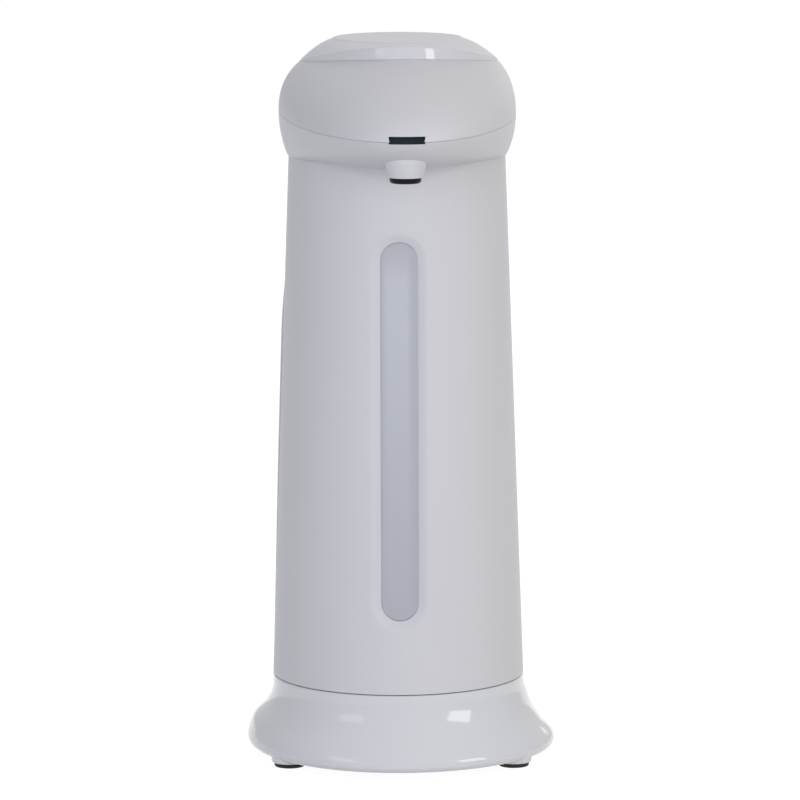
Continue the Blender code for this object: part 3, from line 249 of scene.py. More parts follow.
def lid_wall_polish():
    """The lid's wall: polished in front, satin towards its ends."""
    finish = Finish("lid_wall_gloss", IOR=1.5, Coat_Roughness=0.03)
    drift = finish.noise(14.0, 2.0)
    sink = finish.noise(45.0, 2.0)
    ends = finish.axis("Y").ramp(axis_y - 0.03, axis_y - 0.018)
    finish.feed(finish.shader.inputs["Coat Weight"], 1 - ends)
    polished = finish.tint(drift, (0.61, 0.62, 0.66), (0.65, 0.655, 0.69))
    # Towards its ends the wall takes the lid's lightened white, which carries painted light
    colour = finish.tint(ends, polished, (0.705, 0.705, 0.736))
    return finish.wear(colour, 0.1 + ends * 0.34 + drift * 0.03, finish.bump(sink, 0.12, 0.0004))


def smoked_glass():
    finish = Finish("smoked_black", IOR=1.5, Specular_IOR_Level=0.22)
    smear = finish.noise(260.0, 3.0)
    colour = finish.tint(smear, (0.001, 0.006, 0.011), (0.003, 0.012, 0.019))
    return finish.wear(colour, 0.1 + smear * 0.1, finish.bump(smear, 0.05, 0.0001))


def nozzle_rubber():
    finish = Finish("nozzle_black", IOR=1.5, Specular_IOR_Level=0.12)
    smear = finish.noise(420.0, 3.0)
    fine = finish.noise(2600.0, 2.0)
    colour = finish.tint(smear, (0.004, 0.004, 0.005), (0.013, 0.011, 0.01))
    return finish.wear(colour, 0.3 + smear * 0.16, finish.bump(fine, 0.12, 0.00005))


def pad_rubber():
    finish = Finish("black_rubber", IOR=1.45)
    dust = finish.noise(320.0, 4.0, 0.65)
    pores = finish.noise(3400.0, 2.0)
    colour = finish.tint(dust.ramp(0.45, 0.75), (0.008, 0.008, 0.01), (0.035, 0.034, 0.036))
    return finish.wear(colour, 0.55 + dust * 0.25, finish.bump(pores, 0.4, 0.00008))


def frosted_strip():
    """The level window: frosted acrylic, darker towards the bottom, with painted shade along its
    sides and at its top.
    """
    finish = Finish("frosted_clear", IOR=1.47, Subsurface_Weight=0.12, Subsurface_Scale=0.004,
                    Transmission_Weight=0.06)
    height_tone = finish.axis("Z").ramp(0.03, 0.2)
    mist = finish.noise(520.0, 3.0)
    frost = finish.noise(5200.0, 2.0)
    cloud = finish.noise(24.0, 2.0)
    # Painted shade: the strip is darker towards both sides, where the slot's rim shades its recess
    across = abs(finish.axis("X") + window_shade_shift * MM)
    edge = across.ramp(0.003, 0.0062)
    # Painted shade: darker at the strip's top, under the slot's top edge
    head_shade = finish.axis("Z").ramp(0.174, 0.191)
    share = (height_tone * 0.86 + cloud * 0.14) * (1 - edge * 0.75) * (1 - head_shade * 0.8)
    colour = finish.tint(share, (0.465, 0.47, 0.525), (0.6, 0.62, 0.67))
    rough = 0.46 + mist * 0.12
    return finish.wear(colour, rough, finish.bump(frost, 0.22, 0.00005))


def clear_tank():
    finish = Finish("tank_clear", IOR=1.49, Transmission_Weight=0.55)
    mist = finish.noise(160.0, 3.0)
    frost = finish.noise(2400.0, 2.0)
    colour = finish.tint(mist, (0.62, 0.66, 0.7), (0.74, 0.77, 0.8))
    return finish.wear(colour, 0.25 + mist * 0.2, finish.bump(frost, 0.15, 0.00008))


def silicone():
    finish = Finish("soft_silicone", IOR=1.41, Subsurface_Weight=0.2, Subsurface_Scale=0.002)
    cloud = finish.noise(140.0, 3.0)
    skin_grain = finish.noise(1900.0, 2.0)
    colour = finish.tint(cloud, (0.5, 0.53, 0.55), (0.64, 0.66, 0.67))
    return finish.wear(colour, 0.42 + cloud * 0.15, finish.bump(skin_grain, 0.15, 0.00006))


def drawn_steel():
    finish = Finish("bright_steel", Metallic=1.0)
    lines = finish.noise(1.0, 3.0, 0.6, finish.stretched(260.0, 4200.0, 4200.0))
    stain = finish.noise(180.0, 3.0)
    colour = finish.tint(stain, (0.42, 0.42, 0.43), (0.6, 0.6, 0.61))
    return finish.wear(colour, 0.2 + lines * 0.18, finish.bump(lines, 0.1, 0.00004))


def cell_wrap():
    """A plain printed wrap: a dark sleeve with a copper shoulder band on each cell."""
    finish = Finish("cell_jacket", IOR=1.5, Coat_Weight=0.4, Coat_Roughness=0.1, Metallic=0.35)
    height = finish.axis("Z")
    wrinkle = finish.noise(1.0, 3.0, 0.5, finish.stretched(700.0, 700.0, 160.0))
    low_band = height.ramp(0.0835, 0.0838)
    high_band = height.ramp(0.1345, 0.1348)
    split = height.ramp(0.0995, 0.0999)
    copper = low_band * (1 - split) + high_band
    colour = finish.tint(copper, (0.02, 0.021, 0.026), (0.42, 0.2, 0.09))
    return finish.wear(colour, 0.24 + wrinkle * 0.12, finish.bump(wrinkle, 0.12, 0.0002))


def circuit_board():
    finish = Finish("circuit_green", IOR=1.5)
    tracks = finish.node("ShaderNodeTexVoronoi", {"distance": "MANHATTAN"},
                         {"Vector": finish.places, "Scale": 420.0}, out="Distance")
    weave = finish.noise(2600.0, 2.0)
    colour = finish.tint(tracks.ramp(0.42, 0.5), (0.008, 0.09, 0.04), (0.03, 0.2, 0.09))
    return finish.wear(colour, 0.3 + weave * 0.15, finish.bump(weave, 0.2, 0.00004))


pale_white, deep_white = (0.665, 0.665, 0.695), (0.635, 0.635, 0.672)
satin = moulded_plastic("satin_white", pale_white, deep_white, 0.41, 0.12, IOR=1.46)
gloss = polished_plastic("gloss_white", (0.68, 0.688, 0.725), (0.655, 0.663, 0.702), 0.09,
                         IOR=1.5, Coat_Weight=0.7, Coat_Roughness=0.03)
# Painted light: the lid is the shell's white made lighter, so that its top and sloping sides show
# brighter
lid_satin_lit = moulded_plastic("lid_white_lit", (0.72, 0.72, 0.75), (0.69, 0.69, 0.722), 0.42, 0.12,
                            IOR=1.46)
lid_wall_gloss = lid_wall_polish()
inner_plastic = moulded_plastic("inner_white", (0.6, 0.6, 0.6), (0.55, 0.55, 0.56), 0.5, 0.2,
                                IOR=1.46)
nylon = moulded_plastic("grey_nylon", (0.3, 0.31, 0.33), (0.24, 0.25, 0.27), 0.48, 0.25, IOR=1.53)
window_frost = frosted_strip()
smoked = smoked_glass()
tip_black = nozzle_rubber()
pad_black = pad_rubber()
tank_clear = clear_tank()
soft_clear = silicone()
steel = drawn_steel()
cell_sleeve = cell_wrap()
board_green = circuit_board()

by_slot = {"satin_white": satin, "gloss_white": gloss, "smoked_black": smoked,
           "black_rubber": pad_black, "frosted_clear": tank_clear, "inner_white": inner_plastic,
           "grey_nylon": nylon, "soft_silicone": soft_clear, "bright_steel": steel,
           "cell_jacket": cell_sleeve, "circuit_green": board_green}

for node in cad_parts.values():
    for place in node.material_slots:
        slot_name = place.material.name.split(".")[0]
        place.material = by_slot[slot_name]


# Drawing
def at(point):
    """Millimetres about the column's axis to metres in the shared frame."""
    return Vector((point[0] * MM, point[1] * MM + axis_y, point[2] * MM))


def shares(steps):
    return [step / steps for step in range(steps + 1)]


def spread(start, end, steps):
    return [start + (end - start) * share for share in shares(steps)]


def turns_of(count):
    return [math.tau * index / count for index in range(count)]


def smooth(share):
    share = min(max(share, 0.0), 1.0)
    return share * share * (3 - 2 * share)


def between(start, end, share):
    return [a + (b - a) * share for a, b in zip(start, end)]


def quadratic(start, pull, end, share):
    rest = 1 - share
    return [rest * rest * a + 2 * rest * share * b + share * share * c
            for a, b, c in zip(start, pull, end)]


def cubic(start, first, second, end, share):
    rest = 1 - share
    return [rest ** 3 * a + 3 * rest * rest * share * b + 3 * rest * share * share * c
            + share ** 3 * d for a, b, c, d in zip(start, first, second, end)]


def soften(corners, closed=False, steps=4):
    """A line through (point, radius) pairs, each corner rounded off by its radius."""
    line = []
    last = len(corners) - 1
    for index, (point, radius) in enumerate(corners):
        if not radius or (not closed and index in (0, last)):
            line.append(point)
            continue
        before = corners[index - 1][0]
        after = corners[(index + 1) % len(corners)][0]
        ends = []
        for other in (before, after):
            length = math.dist(point, other)
            ends.append(between(point, other, min(radius / max(length, 1e-6), 0.45)))
        line += [quadratic(ends[0], point, ends[1], share) for share in shares(steps)]
    return line


def loft(shape, rings, around=True, closed=False, caps=True):
    """Faces through rings of points. Returns the rings' vertices."""
    loops = [[shape.verts.new(at(point)) for point in ring] for ring in rings]
    pairs = list(zip(loops, loops[1:]))
    if closed:
        pairs.append((loops[-1], loops[0]))
    for lower, upper in pairs:
        for index in range(len(lower) if around else len(lower) - 1):
            following = (index + 1) % len(lower)
            shape.faces.new((lower[index], lower[following], upper[following], upper[index]))
    if caps and not closed and around:
        shape.faces.new(loops[0][::-1])
        shape.faces.new(loops[-1])
    return loops


def ring_at(radius, height, centre=(0, 0), count=round_count):
    return [(centre[0] + radius * math.sin(turn), centre[1] - radius * math.cos(turn), height)
            for turn in turns_of(count)]


def turned(shape, profile, centre=(0, 0), count=round_count, hollow=False):
    """Turns (radius, height) points about an upright axis."""
    loft(shape, [ring_at(radius, height, centre, count) for radius, height in profile],
         closed=hollow)


def along(shape, profile, centre, direction, count=small_round_count, hollow=False):
    """Turns (radius, distance) points about a level axis, along X or Y."""
    rings = []
    for radius, distance in profile:
        ring = []
        for turn in turns_of(count):
            side, up = radius * math.sin(turn), radius * math.cos(turn)
            if direction == "X":
                ring.append((distance, centre[1] + side, centre[2] + up))
            else:
                ring.append((centre[0] + side, distance, centre[2] + up))
        rings.append(ring)
    loft(shape, rings, closed=hollow)


def collar(bore, radius, low, high, ease, bore_ease=0.2):
    """The section of a bored round piece with eased edges."""
    return soften([((bore, low), bore_ease), ((radius, low), ease), ((radius, high), ease),
                   ((bore, high), bore_ease)], True)


def settle(piece):
    """Keeps what the piece's modifiers make of it as its own mesh."""
    bpy.context.view_layer.update()
    view = bpy.context.evaluated_depsgraph_get()
    mesh = bpy.data.meshes.new_from_object(piece.evaluated_get(view))
    piece.modifiers.clear()
    piece.data = mesh


def bare(name, shape, finishes):
    bmesh.ops.recalc_face_normals(shape, faces=shape.faces[:])
    if shape.calc_volume(signed=True) < 0:
        bmesh.ops.reverse_faces(shape, faces=shape.faces[:])
    mesh = bpy.data.meshes.new(name)
    shape.to_mesh(mesh)
    shape.free()
    for finish in finishes:
        mesh.materials.append(finish)
    piece = bpy.data.objects.new(name, mesh)
    bpy.context.scene.collection.objects.link(piece)
    return piece


def dress(name, shape, finish, body, nodes=(), sharp=32, cuts=(), bevel=0.0,
          second=None, twist=0.0):
    """Makes a visible piece, lets it ride on a body and hides the CAD nodes that it takes the place
    of.
    """
    piece = bare(name, shape, [finish] + ([second] if second else []))
    tools = []
    for cut in cuts:
        tool = bare(f"{name}_tool_{len(tools)}", cut, [finish])
        tools.append(tool)
        step = piece.modifiers.new(tool.name, "BOOLEAN")
        step.operation = "DIFFERENCE"
        step.solver = "EXACT"
        step.object = tool
    if bevel:
        step = piece.modifiers.new("eased_edges", "BEVEL")
        step.width = bevel * MM
        step.segments = 3
        step.limit_method = "ANGLE"
        step.angle_limit = math.radians(40)
        step.harden_normals = False
    if piece.modifiers:
        settle(piece)
    for tool in tools:
        bpy.data.objects.remove(tool, do_unlink=True)
    axis = Vector((0, axis_y, 0))
    piece.data.transform(Matrix.Translation(axis) @ Matrix.Rotation(math.radians(twist), 4, "Z")
                         @ Matrix.Translation(-axis))
    piece.data.shade_smooth()
    piece.data.set_sharp_from_angle(angle=math.radians(sharp))
    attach(piece, body)
    if nodes:
        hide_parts(*nodes)
    return piece


# Stand: the left flare has a belly over a tucked lip, the right one a straighter fall
left_belly, left_belly_height, left_belly_below, left_belly_above = 1.95, 13.7, 3.1, 2.55
left_tuck, left_tuck_low, left_tuck_high, left_tuck_curve = 2.2, 2.0, 9.0, 1.8
right_spread, right_spread_height, right_spread_fade = 1.35, 6.0, 5.5
right_swell, right_swell_height, right_swell_width = 0.58, 22.0, 2.6


def bell(place, middle, width):
    """1 in the middle and less on both sides of it."""
    return math.exp(-((place - middle) / width) ** 2 / 2)


def stand_sway(turn, height):
    """How much further out the flare stands at a height, seen round the stand."""
    if math.sin(turn) < 0:
        width = left_belly_below if height < left_belly_height else left_belly_above
        tucked = max((left_tuck_high - height) / (left_tuck_high - left_tuck_low), 0)
        sway = left_belly * bell(height, left_belly_height, width)
        sway -= left_tuck * tucked ** left_tuck_curve
    else:
        fade = smooth((height - right_spread_height) / right_spread_fade)
        sway = right_spread * (1 - fade)
        sway += right_swell * bell(height, right_swell_height, right_swell_width)
    return sway * math.sin(turn) ** 2


def flare(inset, steps):
    """The stand's side from its lip up to its neck."""
    radius, neck_radius = stand_radius - inset, stand_neck_radius - inset
    neck = stand_height - neck_band
    return [cubic((radius, lip_height), (radius, lip_height + flare_start),
                  (neck_radius + flare_lean, neck - flare_end), (neck_radius, neck), share)
            for share in shares(steps)]


def screw_places():
    """Where the three base screws stand about the column's axis."""
    turns = [math.radians(angle) for angle in screw_angles]
    return [(screw_circle * math.cos(turn), screw_circle * math.sin(turn)) for turn in turns]


def build_stand():
    lip_rise = (lip_height - lip_base_height) * lip_roundness
    overhang = (stand_radius - lip_base_radius) * lip_roundness
    lip = [cubic((lip_base_radius, lip_base_height), (lip_base_radius + overhang, lip_base_height),
                 (stand_radius, lip_height - lip_rise), (stand_radius, lip_height), share)
           for share in shares(10)]
    deck_top = stand_height - stand_deck_sink
    deck_low = deck_top - stand_deck_wall
    inner = [point for point in flare(wall, 16) if point[1] < deck_low - wall]
    spigot = column_foot_radius - wall - gap
    spigot_bore = spigot - stand_spigot_wall
    spigot_top = stand_height + stand_spigot_height
    corners = [((stand_neck_radius - 2 * wall, deck_low), 1.0)]
    corners += [(point, 0) for point in inner[::-1]]
    corners += [((lip_base_radius - wall, lip_base_height), 0.6)]
    corners += [(point, 0) for point in lip + flare(0, 26)[1:]]
    corners += [((stand_neck_radius, stand_height), 0.6), ((spigot, stand_height), 0.2),
                ((spigot, spigot_top), 0.4), ((spigot_bore, spigot_top), 0.4),
                ((spigot_bore, deck_top), 0.4)]
    flare_least = stand_neck_radius - 5
    rings = []
    for radius, height in soften(corners):
        ring = []
        for turn in turns_of(round_count):
            reach = radius + (stand_sway(turn, height) if radius > flare_least else 0)
            ring.append((reach * math.sin(turn), -reach * math.cos(turn), height))
        rings.append(ring)
    shape = bmesh.new()
    loft(shape, rings)
    screw_holes = []
    for place in screw_places():
        hole = bmesh.new()
        turned(hole, [(screw_bore, height) for height in screw_hole], place, small_round_count)
        screw_holes.append(hole)
    dress("stand_base_shell", shape, gloss, "housing", ["stand_base"],
          cuts=screw_holes)


def build_feet():
    """A glossy boss under each corner of the stand, with a rubber pad let into it."""
    boss_section = soften([((boss_radius - 1.4, boss_low), 0),
                           ((boss_radius - 0.15, boss_low), 0.8),
                           ((boss_radius, boss_low + 1.7), 0.8),
                           ((boss_radius - 0.3, boss_high - 0.8), 1.2),
                           ((boss_radius - 2.2, boss_high), 0)])
    pad_section = soften([((pad_radius - 2.25, 0.25), 0), ((pad_radius - 2.05, 0), 0.2),
                          ((pad_radius - 0.35, 0), 0.3), ((pad_radius, pad_high - 0.25), 0.25),
                          ((pad_radius - 1.05, pad_high), 0)])
    for side, hand in ((-1, "left"), (1, "right")):
        for front, end in ((-1, "front"), (1, "rear")):
            label = f"{end}_{hand}"
            centre = (side * foot_across + foot_shift[hand], front * foot_along)
            boss = bmesh.new()
            turned(boss, boss_section, centre, small_round_count)
            dress(f"foot_boss_{label}_shell", boss, gloss, "housing", (),
                  twist=stand_twist)
            pad = bmesh.new()
            turned(pad, pad_section, centre, small_round_count)
            dress(f"foot_pad_{label}_rubber", pad, pad_black, "housing", [f"foot_pad_{label}"],
                  twist=stand_twist)


# Column: a tapered wall with the level slot in front and the battery opening behind
def column_radius(height):
    share = (height - column_foot) / (column_top - column_foot)
    return column_foot_radius + (column_top_radius - column_foot_radius) * share


def front_point(x, height, inset):
    radius = column_radius(height) - inset
    return x, -math.sqrt(radius * radius - x * x), height


def slot_paths():
    """For each line out of the slot: its place on the slot's edge, its way out and its end."""
    low_centre = slot_bottom + slot_half_width
    high_centre = slot_top - slot_half_width
    low_room, high_room = low_centre - column_foot, column_top - high_centre
    low_corner, high_corner = math.atan2(low_room, slot_field), math.atan2(high_room, slot_field)

    def fan(start, first_corner, last_corner, end):
        """Angles round one end of the slot, with one on each of the field's corners."""
        return (spread(start, first_corner, 12)[:-1] + spread(first_corner, last_corner, 26)[:-1]
                + spread(last_corner, end, 12))

    def edge(angle, centre, room):
        c, s = math.cos(angle), math.sin(angle)
        scale = min(slot_field / max(abs(c), 1e-9), room / max(abs(s), 1e-9))
        return c * scale, centre + s * scale

    rows = spread(high_centre, cover_top, 4)[1:] + spread(cover_top, low_centre, 40)[1:-1]
    paths = [((0, high_centre), angle, edge(angle, high_centre, high_room))
             for angle in fan(0, high_corner, math.pi - high_corner, math.pi)]
    paths += [((0, height), math.pi, (-slot_field, height)) for height in rows]
    paths += [((0, low_centre), angle, edge(angle, low_centre, low_room))
              for angle in fan(math.pi, math.pi + low_corner, math.tau - low_corner, math.tau)]
    paths += [((0, height), 0, (slot_field, height)) for height in rows[::-1]]
    return paths


def out_of_slot(path, growth):
    """Where a line out of the slot stands, at a distance from the slot's edge."""
    (x, z), angle, _ = path
    reach = slot_half_width + growth
    return x + reach * math.cos(angle), z + reach * math.sin(angle)


def wall_row(radius, height, start, stop, steps, side=1):
    """Points round the wall at one height, between two turns from the front."""
    return [(side * radius * math.sin(turn), -radius * math.cos(turn), height)
            for turn in spread(start, stop, steps)]


def column_sheet(inset):
    """The wall's patches at a depth under its outer face, as grids of points."""
    paths = slot_paths()
    depth, width = slot_rim_depth, slot_rim_width
    if inset:
        depth, width = slot_back_depth, slot_back_width
    rings = []
    growths = (0, 0.12, 0.35, 0.7, 1.1, 1.5, 1.9, 2.3, 2.7, 3.0, 3.4, 4.0)
    for growth in growths:
        sunk = depth * max(1 - growth / width, 0) ** slot_rim_curve
        rings.append([front_point(*out_of_slot(path, growth), inset + sunk) for path in paths])
    for share in (0.12, 0.26, 0.42, 0.6, 0.8, 1.0):
        rings.append([front_point(*between(out_of_slot(path, growths[-1]), path[2], share), inset)
                      for path in paths])
    heights = sorted({round(end[1], 6) for _, _, end in paths
                      if abs(end[0] - slot_field) < 1e-6})
    right, left, rear = [], [], []
    for height in heights:
        radius = column_radius(height) - inset
        start, stop = math.asin(slot_field / radius), math.acos(-cover_edge / radius)
        right.append(wall_row(radius, height, start, stop, 22))
        left.append(wall_row(radius, height, start, stop, 22, -1))
        if height > cover_top - 1e-6:
            rear.append(wall_row(radius, height, stop, math.tau - stop, 60))
    return [(rings, True), (right, False), (left, False), (rear, False)]


def wall_between(shape, outer, inner):
    """A closed wall between two like sheets, joined along their free edges."""
    flat_outer = [point for grid, _ in outer for row in grid for point in row]
    flat_inner = [point for grid, _ in inner for row in grid for point in row]
    tree = kdtree.KDTree(len(flat_outer))
    for index, point in enumerate(flat_outer):
        tree.insert(point, index)
    tree.balance()
    same = [min(found[1] for found in tree.find_range(point, 1e-3)) for point in flat_outer]
    skins = []
    for points in (flat_outer, flat_inner):
        made = {}
        for index in same:
            if index not in made:
                made[index] = shape.verts.new(at(points[index]))
        skins.append(made)
    used = {}
    start = 0
    for grid, wraps in outer:
        width = len(grid[0])
        for row in range(len(grid) - 1):
            for column in range(width if wraps else width - 1):
                beside = (column + 1) % width
                corners = [same[start + row * width + column], same[start + row * width + beside],
                           same[start + (row + 1) * width + beside],
                           same[start + (row + 1) * width + column]]
                if len(set(corners)) < 4:
                    continue
                shape.faces.new([skins[0][corner] for corner in corners])
                shape.faces.new([skins[1][corner] for corner in corners[::-1]])
                for a, b in zip(corners, corners[1:] + corners[:1]):
                    used.setdefault(frozenset((a, b)), []).append((a, b))
        start += len(grid) * width
    for sides in used.values():
        if len(sides) == 1:
            a, b = sides[0]
            shape.faces.new((skins[0][b], skins[0][a], skins[1][a], skins[1][b]))


def build_column():
    shape = bmesh.new()
    wall_between(shape, column_sheet(0), column_sheet(wall))
    dress("column_wall", shape, satin, "housing", ["column_shell"], sharp=40,
          twist=column_twist)
    posts = bmesh.new()
    low = stand_height + stand_spigot_height + gap
    for place in screw_places():
        turned(posts, collar(screw_bore, post_radius, low, low + post_height, 0.4), place,
               small_round_count, hollow=True)
    dress("column_screw_posts", posts, satin, "housing", ())


def window_ring(growth, depth, crown):
    points = []
    for path in slot_paths():
        x, z = out_of_slot(path, growth)
        lift = crown * (1 - (x / slot_half_width) ** 2)
        points.append((x, depth - lift - column_radius(z), z))
    return points


def build_window():
    """The strip's face is gently crowned across and stands back from the slot's edge."""
    face, flange = window_face_depth, window_flange_depth
    sections = [(growth, face, window_crown) for growth in (-6.6, -4.5, -2.5, -1.0)]
    sections += [(-0.2, face, window_crown - 0.05), (-window_play, face + 0.1, 0),
                 (-window_play, flange, 0), (window_flange - 0.1, flange, 0),
                 (window_flange, flange + 0.1, 0), (window_flange, window_back_depth, 0)]
    shape = bmesh.new()
    loft(shape, [window_ring(*section) for section in sections])
    dress("level_window_strip", shape, window_frost, "housing", ["level_window"],
          twist=column_twist)


def cover_lean(height):
    """The cover sits a little prouder on the left edge, most of all below its top."""
    top_fade = smooth((cover_top - height) / tilt_top_fade)
    return cover_tilt * top_fade * smooth((height - tilt_foot) / tilt_foot_fade)


def cover_stand_out(height):
    """How far the cover stands out of the column: it runs out to nothing at its top."""
    ramp_foot = cover_top - cover_ramp
    if height > ramp_foot:
        return cover_proud * math.cos(math.pi / 2 * (height - ramp_foot) / cover_ramp)
    share = (height - column_foot) / (ramp_foot - column_foot)
    return cover_foot_proud + (cover_proud - cover_foot_proud) * share


def cover_ring(height, eased):
    """A level section of the cover: round its outside and back along its inside."""
    outer = column_radius(height) + cover_stand_out(height) - eased
    ring = []
    for radius, order in ((outer, 1), (column_radius(height) - wall, -1)):
        start = math.asin((cover_edge + cover_side_play) / radius)
        for turn in spread(start, math.pi - start, 72)[::order]:
            reach = radius - cover_lean(height) * math.cos(turn) * (order > 0)
            ring.append((reach * math.cos(turn), reach * math.sin(turn), height))
    return ring


def grip_bar(height):
    """A bar that follows the cover's round back and runs out softly at its ends."""
    radius = column_radius(height) + bar_lift
    rings = []
    for place in spread(-1, 1, 28):
        x = bar_half_width * place
        y = math.sqrt(radius * radius - x * x)
        size = bar_radius * max(math.sqrt(max(1 - place ** 8, 0)), bar_end_share)
        rings.append([(x, y + size * bar_depth_share * math.cos(turn),
                       height + size * math.sin(turn)) for turn in turns_of(16)])
    return rings


def build_battery_cover():
    """The back half of the column, with three grip bars below its top edge."""
    ramp_foot, top = cover_top - cover_ramp, cover_top - cover_top_play
    heights = [column_foot + 0.4] + spread(column_foot, ramp_foot, 16)[1:]
    heights += spread(ramp_foot, top, 10)[1:-1]
    shape = bmesh.new()
    rings = [cover_ring(column_foot, cover_ease)]
    rings += [cover_ring(height, 0) for height in heights]
    rings += [cover_ring(top, cover_ease)]
    loft(shape, rings)
    for index in range(bar_count):
        loft(shape, grip_bar(cover_top - bar_drop - index * bar_step))
    dress("battery_cover_shell", shape, satin, "battery_door", ["battery_cover"],
          twist=column_twist)


# Head: two lofted shells that meet at a seam, which drops towards the beak
def front_weight(turn):
    return max(math.cos(turn), 0) ** 2


def blend(side, front, turn):
    return side + (front - side) * front_weight(turn)


def oval(turn, half_width, front, rear):
    reach = front if math.cos(turn) > 0 else rear
    return half_width * math.sin(turn), -reach * math.cos(turn)


def seam_point(turn):
    x, y = oval(turn, head_half_width, head_reach, head_half_width)
    return x, y, seam_height + seam_drop * y / head_reach


def inward(x, y, amount):
    length = math.hypot(x, y)
    return x * (length - amount) / length, y * (length - amount) / length


def lid_oval(turn, share=1.0):
    x, y = oval(turn, lid_half_width, lid_reach, lid_rear_reach)
    return x * share * blend(1, lid_nose_share, turn) + lid_shift, y * share


def lid_edge(turn):
    """The lid's own edge runs a little flatter in front, between two soft corners."""
    x, y = lid_oval(turn)
    signed = math.atan2(math.sin(turn), math.cos(turn))
    fade = 1 - smooth((abs(signed) - lid_corner_end) / lid_corner_fade)
    return x, y + lid_corner_swell * math.cos(lid_corner_waves * signed) * fade


def front_fall(turn):
    """1 in front, falling to 0 at the sides: how the lid's edge and wall rise forward."""
    return max(math.cos(turn), 0) ** 1.3


def cover_edge_height(turn):
    return lid_edge_height + lid_front_rise * front_fall(turn)


def cover_skin(turn, inset, share):
    """The cover's side from the seam to the lid's edge, or its lining at an inset."""
    x, y, seam = seam_point(turn)
    side, low = inward(x, y, inset), seam + hairline
    pull = blend(cover_side_pull, cover_front_pull, turn) - inset / 2
    edge = (*lid_oval(turn), cover_edge_height(turn))
    if inset:
        edge = (*inward(*lid_oval(turn, seat_share), -inset), cover_edge_height(turn) - inset * 1.5)
    return quadratic((*side, low), (*side, low + pull), edge, share)


def lower_skin(turn, inset, share):
    """The lower shell's side from the seam to the column's rim, or its lining at an inset."""
    x, y, seam = seam_point(turn)
    tuck, drop = blend(1, beak_tuck, turn), blend(side_drop, beak_drop, turn)
    rim = (rim_radius * math.sin(turn), -rim_radius * math.cos(turn))
    start, pull = (x, y), (x * tuck, y * tuck)
    if inset:
        start, pull, rim = (inward(*place, inset) for place in (start, pull, rim))
    return quadratic((*start, seam), (*pull, seam - drop + inset), (*rim, rim_height + inset),
                     share)


def head_rings(meridian):
    """Turns a function of the angle round the head into rings of points."""
    lines = [meridian(turn) for turn in turns_of(round_count)]
    return [list(ring) for ring in zip(*lines)]


def sensor_outline(room=0.0):
    """The sensor window's right edge, pinched where the seam's eased edges meet it."""
    half, tall = sensor_half_width + room, sensor_half_tall + room
    return [(half, -tall), (half - 0.1, -tall * 0.4), (half - 0.35, -0.45),
            (half - 0.1, tall * 0.2), (half, tall)]


def sensor_cut():
    """The slot for the sensor window, with a little room round it."""
    outline = sensor_outline(0.1)
    outline += [(-x, z) for x, z in outline[::-1]]
    shape = bmesh.new()
    loft(shape, [[(x, y, sensor_height + z) for x, z in outline]
                 for y in (-head_reach - 3, -head_reach + 4.2)])
    return shape


def build_lower_head():
    inner = spigot_radius - spigot_wall
    foot = rim_height - spigot_depth

    def meridian(turn):
        s, c = math.sin(turn), -math.cos(turn)
        outer = [lower_skin(turn, 0, share) for share in shares(26)]
        lining = [lower_skin(turn, wall, share) for share in shares(10)[::-1]]
        corners = [(outer[0], 0.15)] + [(point, 0) for point in outer[1:-1]] + [(outer[-1], 0.2)]
        for radius, height in ((spigot_radius, rim_height), (spigot_radius, foot), (inner, foot),
                               (inner, rim_height + wall)):
            corners.append(((radius * s, radius * c, height), 0.3))
        corners += [(point, 0) for point in lining[:-1]] + [(lining[-1], 0.3)]
        return soften(corners, True)

    shape = bmesh.new()
    loft(shape, head_rings(meridian), closed=True)
    hole = bmesh.new()
    turned(hole, [(nozzle_hole, nozzle_foot - 2), (nozzle_hole, nozzle_foot + 14)],
           (0, nozzle_forward))
    dress("head_lower_skin", shape, satin, "housing", ["head_lower_shell"],
          cuts=[hole, sensor_cut()], twist=head_twist)
    tabs = bmesh.new()
    for side in (-1, 1):
        turned(tabs, collar(screw_bore, tab_radius, tab_low, tab_high, 0.3),
               (side * tab_across, tab_forward), small_round_count, hollow=True)
    dress("head_screw_tabs", tabs, satin, "housing", ())


def build_head_cover():
    deck_low = deck_height - deck_thickness

    def meridian(turn):
        s, c = math.sin(turn), -math.cos(turn)
        outer = [cover_skin(turn, 0, share) for share in shares(34)]
        lining = [cover_skin(turn, wall, share) for share in shares(10)[::-1]]
        corners = [(outer[0], 0.15)] + [(point, 0) for point in outer[1:-1]] + [(outer[-1], 0.08)]
        corners.append(((*lid_oval(turn, seat_share), cover_edge_height(turn)), 0.4))
        corners.append(((*lid_oval(turn, seat_share), deck_height), 0.5))
        for height in (deck_height, deck_low):
            corners.append(((opening_radius * s, lid_centre + opening_radius * c, height), 0.5))
        corners.append(((*inward(*lid_oval(turn, seat_share), -wall), deck_low), 0.5))
        corners += [(point, 0) for point in lining[:-1]] + [(lining[-1], 0.3)]
        return soften(corners, True)

    shape = bmesh.new()
    loft(shape, head_rings(meridian), closed=True)
    button_hole = bmesh.new()
    hole_radius = button_radius + button_hole_play
    along(button_hole, [(hole_radius, button_hole_start), (hole_radius, button_hole_end)],
          (0, 0, button_height), "Y")
    dress("head_cover_skin", shape, satin, "housing", ["head_cover"],
          cuts=[button_hole, sensor_cut()], twist=head_twist)


